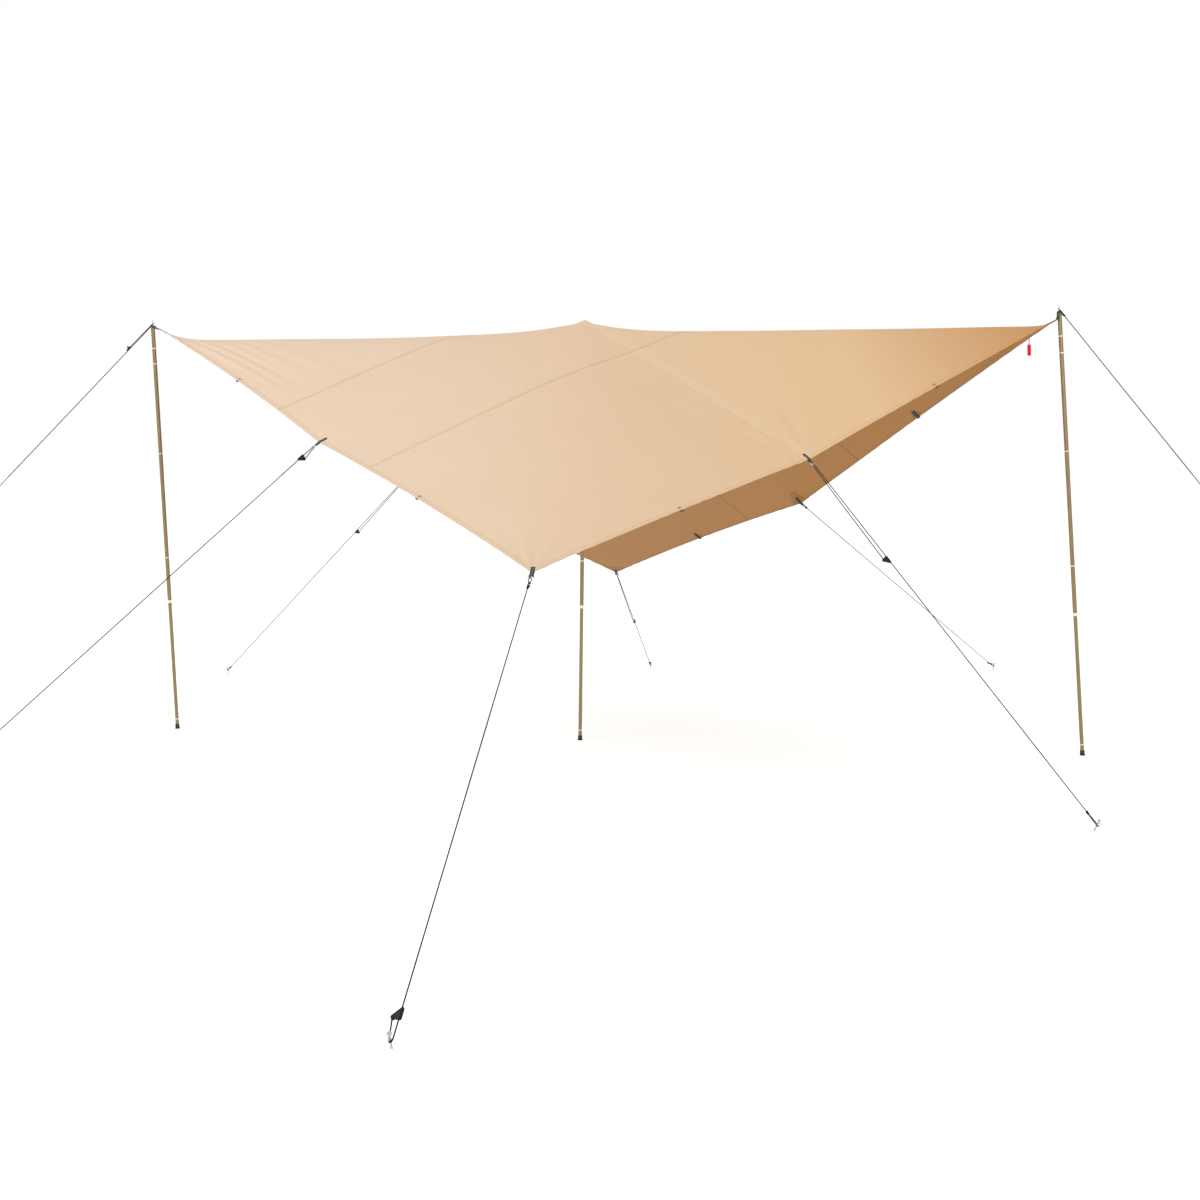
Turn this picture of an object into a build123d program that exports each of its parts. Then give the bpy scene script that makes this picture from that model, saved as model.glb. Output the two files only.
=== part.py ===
from build123d import *
import math
import os

# Square four-metre tarp pitched as a shelter: one diagonal is the ridge, held up by three poles,
# and eight tie-out points are pulled down to ground stakes by guy lines.
# Frame: millimetres, +Z up, +X along the ridge, -Y is the open front.
# The origin is on the ground under the centre pole.

# ---- tarp -----------------------------------------------------------------------------------
SIDE = 4000.0                      # cut size of the square cloth
CLOTH = 2.0                        # thickness given to the canvas
SEAMS = (0.375, 0.625)             # the cloth is sewn from widths of 1.5 m, 1.0 m and 1.5 m
TIE_POINTS = {                     # where the pitched cloth is held, at the edge of the canvas
    "left": (-2766, 47, 2606),
    "front_left": (-1315, -1130, 1838),
    "front": (84, -2415, 1219),
    "front_right": (1370, -1080, 1740),
    "right": (2853, -136, 2573),
    "back_right": (1398, 780, 1467),
    "back": (20, 2118, 896),
    "back_left": (-1380, 994, 1622),
}
PEAK = (28, 24, 2625)              # the middle of the cloth, on the centre pole's domed head
CLOTH_PLACES = {                   # the same points on the flat cloth, as shares of its side
    "left": (0.0, 0.0),
    "front_left": (0.5, 0.0),
    "front": (1.0, 0.0),
    "front_right": (1.0, 0.5),
    "right": (1.0, 1.0),
    "back_right": (0.5, 1.0),
    "back": (0.0, 1.0),
    "back_left": (0.0, 0.5),
}
CENTRE_PLACE = (0.5, 0.5)
BAND_WIDTH = 80.0                  # reinforcing band across the middle of the cloth
BAND_THICKNESS = 0.8
PATCH_SIDE = 150.0                 # sewn reinforcement under each tie point
PEAK_PATCH_SIDE = 300.0
PATCH_THICKNESS = 0.8

# ---- webbing, rings and spare loops ------------------------------------------------------------
WEB_WIDTH = 20.0
WEB_THICKNESS = 2.0
STRAP_TAIL = 50.0                  # length of each strap that is sewn on the cloth
STRAP_LIFT = 7.5                   # middle of the tail above the cloth, clear of the fold under it
STRAP_REACH = 12.0                 # from the cloth's edge to the folded eye
STRAP_LAP = 1.5                    # how far the pieces of one strap run into each other
EYE_LENGTH = 12.0                  # inside of the folded eye that carries the ring
EYE_HEIGHT = 7.0
RING_RADIUS = 13.5
RING_BAR = 2.0
RING_REACH = 18.5                  # from the start of the eye to the middle of the ring in it
SPARE_LENGTH = 28.0                # spare loops at the quarter points of the edges lie flat
SPARE_GAP = 2.4
SPARE_DROP = 7.0                   # middle of a spare loop below the top of the cloth
SPARE_TUCKED = 0.6                 # share of a spare loop's length that lies under the cloth

# ---- poles ----------------------------------------------------------------------------------
POLE_LENGTH = 2620.0               # from the ground to the shoulder that carries the cloth
POLE_FEET = {"left": (-2665, 100, 0), "centre": (0, 0, 0), "right": (3011, -134, 0)}
POLE_HEADS = {"left": (-2810, 48, 2616), "centre": (28, 24, 2620), "right": (2884, -113, 2617)}
UPPER_RADIUS = 12.5                # middle and upper tubes
UPPER_BORE = 11.3
LOWER_RADIUS = 11.0
LOWER_BORE = 9.6
SPIGOT_BORE = 10.0
SPIGOT_GAP = 0.1                   # upper tube's necked end inside the middle tube
LOWER_TUBE = (8.0, 1100.0)         # all places along a pole are measured up from its foot
MIDDLE_TUBE = (830.0, 1800.0)
UPPER_TUBE_TOP = 2608.0
SPIGOT_LENGTH = 90.0
SPIGOT_ROOT = 12.0                 # solid collar where the upper tube necks down
RING_PLACES = (1120.0, 1800.0, 2385.0, 2485.0)
TRIM_HEIGHT = 6.0
TRIM_PROUD = 0.6
TRIM_GAP = 0.05                    # between a ring, cap or foot and the tube it is pressed on
COLLAR = (6.0, 12.0)               # the end collar's reach below and above the middle tube's end
COLLAR_PROUD = 1.0
FOOT_RING_PLACE = 64.0
FOOT_HEIGHT = 30.0
FOOT_RADIUS = 13.2
FOOT_FLARE = 15.0
FOOT_FLARE_HEIGHT = 6.0
UNDERGROUND = 60.0                 # side of the block that trims a leaning foot flat
CAP_PLUG = 26.0
HEAD_DOME = 12.5                   # radius of the centre pole's domed head
DOME_DROP = 16.0                   # its centre below the pole's nominal top
SPIKE_BASE = (4.5, 32.0)           # radius and height of the spike's thicker root
SPIKE_PIN = (3.5, 16.0)
SPIKE_POINT = 4.0
SPIKE_SOCKET = 14.0
SPIKE_TIP = 1.2
SPIKE_CLEAR = 0.4                  # between the spike and the strap's eye
SPIKE_EYE = (10.0, 3.0)            # radius and thickness of the strap's end on the pole's shoulder
SHOULDER_GAP = 0.2                 # between the shoulder and the strap's eye
SHELF = 4.0                        # how far the strap runs level past the pole's rim
LINE_ON_SPIKE = 24.0               # height of the guy line's bight over the shoulder
SPIKE_SLANT = 2.5                  # the line crosses the spike at a slant, so its bight is longer
LINE_FROM_SPIKE = 11.0             # where a line without a bight starts, from the spike's axis
LOCK_SLEEVE = (1112.0, 1140.0)     # the sleeve grips the middle tube's bore when it is twisted
LOCK_NECK = 4.0
LOCK_HEAD = (7.0, 6.0)             # radius and height
LOCK_PLUG = 30.0
LOCK_GAP = 0.3
LOCK_FIT = 0.08

# ---- guy lines, line tensioners and stakes ---------------------------------------------------
LINE = 5.0                         # diameter of the cord
LINE_CLEAR = 0.3                   # between the cord and what slides on it
LINE_OFF_STAKE = 1.5               # a line that ends at its stake stops short of the shaft
ARC_SLACK = 0.05                   # each arc is a little smaller than the corner it rounds
STAKE_EYES = {                     # where each line bears on its stake
    "left": (-4266, -1982, 30),
    "front_left": (-2789, -2826, 30),
    "front": (22, -4610, 30),
    "front_right": (2660, -1901, 30),
    "right": (4397, -1738, 30),
    "back_right": (3119, 3424, 30),
    "back": (213, 3179, 30),
    "back_left": (-3270, 2498, 30),
}
# A tensioner sits on a loop at the cloth's end of its line, or on a loop round the stake.
LOOP_AT_CLOTH = {"left": 240.0, "front_left": 95.0, "front_right": 650.0, "back": 650.0,
                 "back_left": 650.0}
LOOP_AT_STAKE = {"front": 95.0, "right": 120.0, "back_right": 95.0}
PLATE_THICKNESS = 3.0
PLATE_EDGE = 7.0                   # radius of the plate's rounded corners
PLATE_HOLE = 3.0
PLATE_HOLES = ((-17.0, 0.0), (15.0, 0.0), (11.0, -22.0))   # apex, running side, knot
STAKE_RADIUS = 4.0
STAKE_TILT = 25.0                  # degrees off vertical, leaning away from the cloth
STAKE_TIP = -160.0                 # depth of the point below the ground
STAKE_POINT = 22.0
STAKE_TIP_RADIUS = 0.8
STAKE_ABOVE_EYE = 22.0
STAKE_CAP = (8.0, 5.0)
STAKE_HOOK = (2.5, 15.0, 8.0)      # radius, reach, and height over the cord
STAKE_LIP = 3.7                    # radius of the ball on the hook's end

# ---- carabiner at the front tie-out and care tag ----------------------------------------------
CARABINER = (50.0, 19.0)           # overall length and width
CARABINER_BAR = 2.5
CARABINER_TURN = 35.0              # degrees that the carabiner lies turned about the line
CARABINER_CLEAR = 0.8              # between its bar and the end of the line
GATE_LENGTH = 24.0
GATE_GAP = 0.3
GATE_RADIUS = 2.1                  # of the gate's rod and of the barrel that it swings on
TAG = (27.0, 66.0, 0.8)
TAG_CORNER = 7.0
TAG_SHARE = 0.885                  # place of the tag on the front right edge, towards the right corner
TAG_DROP = 51.0                    # length of its hanging loop
TAG_STEM = (1.5, 0.8)
TAG_EYE = (1.2, 3.0)               # radius and length of the loop's roll under the cloth's edge
TAG_HANG = 3.0                     # middle of that roll below the cloth

ORDER = list(TIE_POINTS)           # the tie points in order round the edge


def unit(vector):
    return Vector(vector).normalized()


def write(name, *solids):
    """One STEP file holds one node, which may be a group of separate solids."""
    solids = [piece for solid in solids for piece in solid.solids()]
    export_step(solids[0] if len(solids) == 1 else Compound(solids), f"parts/{name}.step")


def rod(start, end, radius):
    start = Vector(start)
    axis = Vector(end) - start
    return Solid.make_cylinder(radius, axis.length, Plane(start, z_dir=axis))


def bar(start, end, across, width, thickness):
    """A flat strip from start to end, with its width along the direction across."""
    start = Vector(start)
    axis = Vector(end) - start
    face = Plane(start + axis * 0.5, x_dir=axis, z_dir=axis.cross(Vector(across)))
    return face * Box(axis.length, width, thickness)


# ---- tarp: flat facets between the peak and the tie points ----------------------------------


def clip(polygon, index, limit, keep_above):
    """Cut a polygon on the flat cloth at a line of constant p (index 0) or q (index 1)."""
    sign = 1 if keep_above else -1
    kept = []
    for here, there in zip(polygon, polygon[1:] + polygon[:1]):
        a = sign * (here[index] - limit)
        b = sign * (there[index] - limit)
        if a >= 0:
            kept.append(here)
        if a * b < 0:
            share = a / (a - b)
            kept.append(tuple(h + (t - h) * share for h, t in zip(here, there)))
    return kept


def on_facet(place, corners):
    """The place on the pitched cloth of a point on the flat cloth, by its shares of a facet."""
    (p0, q0), (p1, q1), (p2, q2) = [flat for flat, _ in corners]
    area = (p1 - p0) * (q2 - q0) - (p2 - p0) * (q1 - q0)
    one = ((place[0] - p0) * (q2 - q0) - (p2 - p0) * (place[1] - q0)) / area
    two = ((p1 - p0) * (place[1] - q0) - (place[0] - p0) * (q1 - q0)) / area
    first, second, third = [Vector(solid) for _, solid in corners]
    return first + (second - first) * one + (third - first) * two


def facets():
    for here, there in zip(ORDER, ORDER[1:] + ORDER[:1]):
        yield (
            (CENTRE_PLACE, PEAK),
            (CLOTH_PLACES[here], TIE_POINTS[here]),
            (CLOTH_PLACES[there], TIE_POINTS[there]),
        )


def area_of(polygon):
    pairs = zip(polygon, polygon[1:] + polygon[:1])
    return abs(sum(a[0] * b[1] - a[1] * b[0] for a, b in pairs)) / 2


def cloth_piece(p_range, q_range, bottom, top):
    """The part of the pitched cloth inside a rectangle of the flat cloth, between two heights."""
    pieces = []
    for corners in facets():
        polygon = [flat for flat, _ in corners]
        for index, (low, high) in enumerate((p_range, q_range)):
            polygon = clip(polygon, index, low, True)
            polygon = clip(polygon, index, high, False)
        if len(polygon) < 3 or area_of(polygon) < 1e-7:
            continue
        points = [on_facet(place, corners) + Vector(0, 0, bottom) for place in polygon]
        face = Face(Wire.make_polygon(points, close=True))
        pieces.append(Solid.extrude(face, Vector(0, 0, top - bottom)))
    whole = pieces[0]
    for piece in pieces[1:]:
        whole = whole.fuse(piece)
    return whole.clean()


def around(place, size):
    half = size / SIDE / 2
    return tuple((max(0.0, value - half), min(1.0, value + half)) for value in place)


def make_tarp():
    edges = (0.0,) + SEAMS + (1.0,)
    for name, low, high in zip(("rear", "middle", "front"), edges, edges[1:]):
        write(f"tarp_{name}_panel", cloth_piece((low, high), (0.0, 1.0), 0.0, CLOTH))
    half_band = BAND_WIDTH / SIDE / 2
    band = cloth_piece((0.0, 1.0), (0.5 - half_band, 0.5 + half_band), CLOTH, CLOTH + BAND_THICKNESS)
    write("tarp_centre_band", band)
    patches = [cloth_piece(*around(place, PATCH_SIDE), -PATCH_THICKNESS, 0.0)
               for place in CLOTH_PLACES.values()]
    write("tie_point_patches", *patches)
    peak = cloth_piece(*around(CENTRE_PLACE, PEAK_PATCH_SIDE), -PATCH_THICKNESS, 0.0)
    write("peak_patch", peak)


# ---- tie-outs --------------------------------------------------------------------------------


def pole_axis(side):
    return unit(Vector(POLE_HEADS[side]) - Vector(POLE_FEET[side]))


def on_pole(side, place):
    return Vector(POLE_FEET[side]) + pole_axis(side) * place


def edge_direction(name):
    """The direction of the cloth's edge at a tie point."""
    i = ORDER.index(name)
    return unit(Vector(TIE_POINTS[ORDER[(i + 1) % 8]]) - Vector(TIE_POINTS[ORDER[i - 1]]))


def line_frame(name):
    """Directions at a tie point: along its line, across it and level, and square to both."""
    along = unit(Vector(STAKE_EYES[name]) - Vector(TIE_POINTS[name]))
    across = unit(Vector(0, 0, 1).cross(along))
    return along, across, along.cross(across)


def tail_of_strap(name):
    """The sewn end of a strap, over the cloth from the tie point towards the peak."""
    lift = Vector(0, 0, STRAP_LIFT)
    edge = Vector(TIE_POINTS[name]) + lift
    inward = unit(Vector(PEAK) - Vector(TIE_POINTS[name]))
    return edge, edge + inward * STRAP_TAIL


def folded_eye(start, along, across):
    """The end of a strap, folded back on itself round an eye that runs across the strap."""
    length = EYE_LENGTH + 2 * WEB_THICKNESS
    height = EYE_HEIGHT + 2 * WEB_THICKNESS
    face = Plane(start + along * (length / 2), x_dir=along, z_dir=across)
    profile = SlotOverall(length, height) - SlotOverall(EYE_LENGTH, EYE_HEIGHT)
    return extrude(face * profile, WEB_WIDTH / 2, both=True)


def eye_start(name):
    return Vector(TIE_POINTS[name]) + line_frame(name)[0] * STRAP_REACH


def hanging_strap(name):
    along, across, _ = line_frame(name)
    edge, inner = tail_of_strap(name)
    start = eye_start(name)
    outward = unit(edge - inner)
    tip = edge + outward * (STRAP_REACH / 2)
    tail = bar(inner, tip, edge_direction(name), WEB_WIDTH, WEB_THICKNESS)
    link = bar(tip - outward * STRAP_LAP, start + along * STRAP_LAP, across, WEB_WIDTH, WEB_THICKNESS)
    return tail.fuse(link, folded_eye(start, along, across))


def spike_strap(name):
    """A strap whose end sits on a pole's shoulder, with the pole's spike through its eye."""
    edge, inner = tail_of_strap(name)
    axis = pole_axis(name)
    radius, height = SPIKE_EYE
    foot = on_pole(name, POLE_LENGTH + SHOULDER_GAP)
    middle = foot + axis * (height / 2)
    eye = rod(foot, foot + axis * height, radius)
    towards = edge - foot
    towards = unit(towards - axis * towards.dot(axis))
    level = axis.cross(towards)
    corner = middle + towards * (UPPER_RADIUS + SHELF)
    shelf = bar(middle, corner + towards, level, WEB_WIDTH, WEB_THICKNESS)
    tail = bar(inner, edge, edge_direction(name), WEB_WIDTH, WEB_THICKNESS)
    link = bar(corner, edge, level, WEB_WIDTH, WEB_THICKNESS)
    spike = rod(foot - axis, foot + axis * SPIKE_BASE[1], SPIKE_BASE[0] + SPIKE_CLEAR)
    return tail.fuse(link, shelf, eye) - spike


def ring_centre(name):
    """The ring hangs in the strap's eye, where the edges of the webbing stop it."""
    return eye_start(name) + line_frame(name)[0] * RING_REACH


def tie_ring(name):
    along, _, square = line_frame(name)
    frame = Plane(ring_centre(name), x_dir=along, z_dir=square)
    return frame * Torus(RING_RADIUS, RING_BAR)


def spare_loop(here, there, share):
    """A flat loop of webbing under the cloth's edge, standing out past it."""
    start, end = Vector(TIE_POINTS[here]), Vector(TIE_POINTS[there])
    edge = unit(end - start)
    middle = start + (end - start) * share
    inward = Vector(PEAK) - middle
    outward = unit(edge * inward.dot(edge) - inward)
    origin = middle - outward * (SPARE_LENGTH * SPARE_TUCKED) - Vector(0, 0, SPARE_DROP)
    height = SPARE_GAP + 2 * WEB_THICKNESS
    face = Plane(origin + outward * (SPARE_LENGTH / 2), x_dir=outward, z_dir=edge)
    profile = SlotOverall(SPARE_LENGTH, height) - SlotOverall(SPARE_LENGTH - 2 * WEB_THICKNESS, SPARE_GAP)
    return extrude(face * profile, WEB_WIDTH / 2, both=True)


def make_webbing():
    write("hanging_straps", *[hanging_strap(name) for name in ORDER if name not in POLE_HEADS])
    for name in ("left", "right"):
        write(f"{name}_spike_strap", spike_strap(name))
    write("tie_rings", *[tie_ring(name) for name in ORDER if name not in POLE_HEADS])
    corners = [name for name in ORDER if 0.5 not in CLOTH_PLACES[name]]
    middles = {name: ORDER[(ORDER.index(name) + 1) % 8] for name in ORDER}
    loops = []
    for name in corners:
        middle = middles[name]
        loops.append(spare_loop(name, middle, 0.5))
        loops.append(spare_loop(middle, middles[middle], 0.5))
    write("spare_loops", *loops)


# ---- poles -----------------------------------------------------------------------------------


def turned(side, low, high, radius, bore=0.0):
    """A round piece on a pole's axis, solid or bored through."""
    piece = rod(on_pole(side, low), on_pole(side, high), radius)
    if bore:
        piece = piece - rod(on_pole(side, low - 1), on_pole(side, high + 1), bore)
    return piece


def trim_ring(side, place, tube_radius):
    half = TRIM_HEIGHT / 2
    return turned(side, place - half, place + half, tube_radius + TRIM_PROUD, tube_radius + TRIM_GAP)


def end_collar(side):
    """The collar that closes the middle tube's lower end round the sliding tube."""
    end = MIDDLE_TUBE[0]
    below, above = COLLAR
    collar = turned(side, end - below, end + above, UPPER_RADIUS + COLLAR_PROUD, UPPER_BORE)
    return collar - turned(side, end, end + above + 1, UPPER_RADIUS + TRIM_GAP)


def rubber_foot(side):
    body = turned(side, -3, FOOT_HEIGHT, FOOT_RADIUS)
    flare = turned(side, -3, FOOT_FLARE_HEIGHT, FOOT_FLARE)
    socket = turned(side, LOWER_TUBE[0], FOOT_HEIGHT + 1, LOWER_RADIUS + TRIM_GAP)
    under = Pos(*POLE_FEET[side]) * Pos(0, 0, -UNDERGROUND / 2) * Box(*[UNDERGROUND] * 3)
    return body.fuse(flare) - socket - under


def tip_cap(side):
    plug = turned(side, UPPER_TUBE_TOP - CAP_PLUG, UPPER_TUBE_TOP, UPPER_BORE - TRIM_GAP)
    if side == "centre":
        ball = Pos(*on_pole(side, POLE_LENGTH - DOME_DROP)) * Sphere(HEAD_DOME)
        dome = ball & turned(side, UPPER_TUBE_TOP, POLE_LENGTH, UPPER_RADIUS)
        return plug.fuse(dome)
    head = turned(side, UPPER_TUBE_TOP, POLE_LENGTH, UPPER_RADIUS + 0.5)
    socket = turned(side, POLE_LENGTH - SPIKE_SOCKET, POLE_LENGTH + 1, SPIKE_PIN[0] + TRIM_GAP)
    return plug.fuse(head) - socket


def tip_spike(side):
    root_top = POLE_LENGTH + SPIKE_BASE[1]
    pin_top = root_top + SPIKE_PIN[1]
    shank = turned(side, POLE_LENGTH - SPIKE_SOCKET, pin_top, SPIKE_PIN[0])
    root = turned(side, POLE_LENGTH, root_top, SPIKE_BASE[0])
    point = Plane(on_pole(side, pin_top), z_dir=pole_axis(side)) * Pos(0, 0, SPIKE_POINT / 2)
    return shank.fuse(root, point * Cone(SPIKE_PIN[0], SPIKE_TIP, SPIKE_POINT))


def make_pole(side):
    low, high = LOWER_TUBE
    write(f"{side}_foot", rubber_foot(side))
    write(f"{side}_foot_ring", trim_ring(side, FOOT_RING_PLACE, LOWER_RADIUS))
    write(f"{side}_lower_tube", turned(side, low, high, LOWER_RADIUS, LOWER_BORE))
    sleeve_low, sleeve_high = LOCK_SLEEVE
    plug = turned(side, high - LOCK_PLUG, high, LOWER_BORE - TRIM_GAP)
    flange = turned(side, high, sleeve_low - LOCK_GAP, LOWER_RADIUS)
    neck = turned(side, sleeve_low - 1, sleeve_high + 1, LOCK_NECK)
    head_radius, head_height = LOCK_HEAD
    head = turned(side, sleeve_high + LOCK_GAP, sleeve_high + head_height, head_radius)
    write(f"{side}_lock_spindle", plug.fuse(flange, neck, head))
    sleeve_radius, sleeve_bore = UPPER_BORE - 2 * LOCK_FIT, LOCK_NECK + LOCK_FIT
    write(f"{side}_lock_sleeve", turned(side, *LOCK_SLEEVE, sleeve_radius, sleeve_bore))
    write(f"{side}_middle_tube", turned(side, *MIDDLE_TUBE, UPPER_RADIUS, UPPER_BORE))
    joint = MIDDLE_TUBE[1]
    upper = turned(side, joint, UPPER_TUBE_TOP, UPPER_RADIUS, UPPER_BORE)
    root = joint + SPIGOT_ROOT
    spigot = turned(side, joint - SPIGOT_LENGTH, root, UPPER_BORE - SPIGOT_GAP, SPIGOT_BORE)
    collar = turned(side, joint, root, UPPER_RADIUS, SPIGOT_BORE)
    write(f"{side}_upper_tube", upper.fuse(spigot, collar))
    rings = [trim_ring(side, place, UPPER_RADIUS) for place in RING_PLACES]
    write(f"{side}_silver_rings", end_collar(side), *rings)
    write(f"{side}_tip_cap", tip_cap(side))
    if side != "centre":
        write(f"{side}_tip_spike", tip_spike(side))


# ---- guy lines -------------------------------------------------------------------------------


def tube_along(name, points, radii):
    """A cord's tube: straight runs joined by tangent arcs, one radius for each corner."""
    path = FilletPolyline(*points, radius=radii)
    start = Plane(path @ 0, z_dir=path % 0)
    tube = sweep(start * Circle(LINE / 2), path=path)
    section = math.pi * (LINE / 2) ** 2
    print(f"{name}: radii {radii}, length {path.length:.0f}, "
          f"volume over section times length {tube.volume / section / path.length:.4f}")
    return tube


def stake_frame(name):
    """Where the cord bears on a stake, the stake's axis, and the level way from the cloth."""
    away = Vector(*STAKE_EYES[name]) - Vector(*TIE_POINTS[name])
    away = unit((away.X, away.Y, 0))
    tilt = math.radians(STAKE_TILT)
    axis = away * math.sin(tilt) + Vector(0, 0, math.cos(tilt))
    return Vector(STAKE_EYES[name]), axis, away


def line_holder(name):
    """The middle of what holds a line at the cloth: a spike, a ring's bar or the carabiner's."""
    if name in POLE_HEADS:
        return on_pole(name, POLE_LENGTH + LINE_ON_SPIKE)
    along = line_frame(name)[0]
    outer = ring_centre(name) + along * RING_RADIUS
    if name == "front":
        return outer + along * (CARABINER[0] - 4 * CARABINER_BAR)
    return outer


def running_line(name):
    """The long straight run of a line: its two ends and the side that its loop opens away from."""
    holder, eye = line_holder(name), Vector(STAKE_EYES[name])
    along = unit(eye - holder)
    level = unit(Vector(0, 0, 1).cross(along))
    if name in LOOP_AT_STAKE:
        return holder, eye + level * stake_arc(), level
    side = level if name in POLE_HEADS else along.cross(level)
    return holder + side * held_arc(name), eye, side


def held_arc(name):
    """Radius of the arc that a line makes round its spike or ring."""
    return (SPIKE_BASE[0] if name in POLE_HEADS else RING_BAR) + LINE / 2 + LINE_CLEAR


def stake_arc():
    return STAKE_RADIUS + LINE / 2 + LINE_CLEAR


def tensioner_frame(name):
    """Plane of a tensioner, on the line: x to the end with the loop, -y to the knotted leg."""
    near, far, side = running_line(name)
    along = unit(far - near)
    if name in LOOP_AT_CLOTH:
        middle, x = near + along * LOOP_AT_CLOTH[name], along * -1
    else:
        middle, x = far - along * LOOP_AT_STAKE[name], along
    return Plane(middle, x_dir=x, z_dir=x.cross(side))


def guy_line(name):
    """The whole line, its straight run and its loop, back to the knot at the tensioner."""
    near, far, side = running_line(name)
    along = unit(far - near)
    knot = tensioner_frame(name).from_local_coords(Vector(*PLATE_HOLES[2], 0))
    if name in LOOP_AT_CLOTH:
        arc = held_arc(name)
        turn = near - along * (arc + (SPIKE_SLANT if name in POLE_HEADS else 0.0))
        points = [knot, turn - side * (2 * arc), turn, far - along * (STAKE_RADIUS + LINE_OFF_STAKE)]
    else:
        arc = stake_arc()
        turn = far + along * (arc + 1.0)
        clear_of_holder = LINE_FROM_SPIKE if name in POLE_HEADS else CARABINER_BAR + CARABINER_CLEAR
        points = [near + along * clear_of_holder, turn, turn - side * (2 * arc), knot]
    return tube_along(f"guy_line_{name}", points, [arc - ARC_SLACK] * 2)


def tensioner(name):
    """A flat triangular plate with three holes, lying against the line that runs through it."""
    frame = tensioner_frame(name)
    beside = frame * Pos(0, 0, -(LINE / 2 + LINE_CLEAR + PLATE_THICKNESS / 2))
    discs = [Pos(x, y) * Circle(PLATE_EDGE) for x, y in PLATE_HOLES]
    outline = make_hull([edge for disc in discs for edge in disc.edges()])
    holes = [Pos(x, y) * Circle(PLATE_HOLE) for x, y in PLATE_HOLES]
    return extrude(beside * (outline - holes), PLATE_THICKNESS / 2, both=True)


def stake(name):
    eye, axis, away = stake_frame(name)
    foot = eye + axis * ((STAKE_TIP - eye.Z) / axis.Z)
    shaft_low = foot + axis * STAKE_POINT
    shaft_high = eye + axis * STAKE_ABOVE_EYE
    shaft = rod(shaft_low, shaft_high, STAKE_RADIUS)
    middle = Plane(foot + axis * (STAKE_POINT / 2), z_dir=axis)
    point = middle * Cone(STAKE_TIP_RADIUS, STAKE_RADIUS, STAKE_POINT)
    cap = rod(shaft_high, shaft_high + axis * STAKE_CAP[1], STAKE_CAP[0])
    root = eye + axis * STAKE_HOOK[2]
    hook = rod(root, root + away * STAKE_HOOK[1], STAKE_HOOK[0])
    lip = Pos(*(root + away * STAKE_HOOK[1])) * Sphere(STAKE_LIP)
    return shaft.fuse(point, cap, hook, lip)


def make_lines():
    for name in ORDER:
        write(f"guy_line_{name}", guy_line(name))
        write(f"tensioner_{name}", tensioner(name))
    write("ground_stakes", *[stake(name) for name in ORDER])


# ---- carabiner and tag -----------------------------------------------------------------------


def carabiner_frame():
    """Origin at the carabiner's middle, x along the line, y to the gate's side."""
    along, across, square = line_frame("front")
    first_bar = ring_centre("front") + along * (RING_RADIUS - RING_BAR - CARABINER_BAR - SHOULDER_GAP)
    middle = first_bar + along * (CARABINER[0] / 2 - CARABINER_BAR)
    turn = math.radians(CARABINER_TURN)
    return Plane(middle, x_dir=along, z_dir=across * math.cos(turn) + square * math.sin(turn))


def make_carabiner():
    frame = carabiner_frame()
    length, width = CARABINER[0] - 2 * CARABINER_BAR, CARABINER[1] - 2 * CARABINER_BAR
    straight, bend, half_gate = (length - width) / 2, width / 2, GATE_LENGTH / 2 + GATE_GAP
    path = (
        Line((half_gate, bend), (straight, bend))
        + RadiusArc((straight, bend), (straight, -bend), bend)
        + Line((straight, -bend), (-straight, -bend))
        + RadiusArc((-straight, -bend), (-straight, bend), bend)
        + Line((-straight, bend), (-half_gate, bend))
    )
    path = frame * path
    start = Plane(path @ 0, z_dir=path % 0)
    write("carabiner_body", sweep(start * Circle(CARABINER_BAR), path=path))
    hinge = frame.from_local_coords(Vector(GATE_RADIUS - GATE_LENGTH / 2, bend, 0))
    nose = frame.from_local_coords(Vector(GATE_LENGTH / 2, bend, 0))
    barrel = rod(hinge - frame.z_dir * GATE_RADIUS, hinge + frame.z_dir * GATE_RADIUS, GATE_RADIUS)
    write("carabiner_gate", rod(hinge, nose, GATE_RADIUS).fuse(barrel))


def make_tag():
    start, end = Vector(TIE_POINTS["front_right"]), Vector(TIE_POINTS["right"])
    hang = start + (end - start) * TAG_SHARE - Vector(0, 0, TAG_HANG)
    edge = unit((end.X - start.X, end.Y - start.Y, 0))
    frame = Plane(hang, x_dir=edge, z_dir=edge.cross(Vector(0, 0, 1)))
    wide, tall, thick = TAG
    outline = Pos(0, -TAG_DROP - tall / 2) * Rectangle(wide, tall)
    top = sorted(outline.vertices(), key=lambda vertex: vertex.Y)[-2:]
    outline = chamfer(top, TAG_CORNER)
    stem_width, stem_thick = TAG_STEM
    stem = Pos(0, -(TAG_DROP + 1) / 2) * Rectangle(stem_width, TAG_DROP + 1)
    tag = extrude(frame * outline, thick / 2, both=True)
    eye_radius, eye_length = TAG_EYE
    roll = rod(hang - edge * (eye_length / 2), hang + edge * (eye_length / 2), eye_radius)
    write("care_tag", tag.fuse(extrude(frame * stem, stem_thick / 2, both=True), roll))


os.makedirs("parts", exist_ok=True)
make_tarp()
make_webbing()
for pole_side in POLE_FEET:
    make_pole(pole_side)
make_lines()
make_carabiner()
make_tag()
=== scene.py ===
import math

import bpy
import numpy as np
from mathutils import Matrix, Vector


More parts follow.
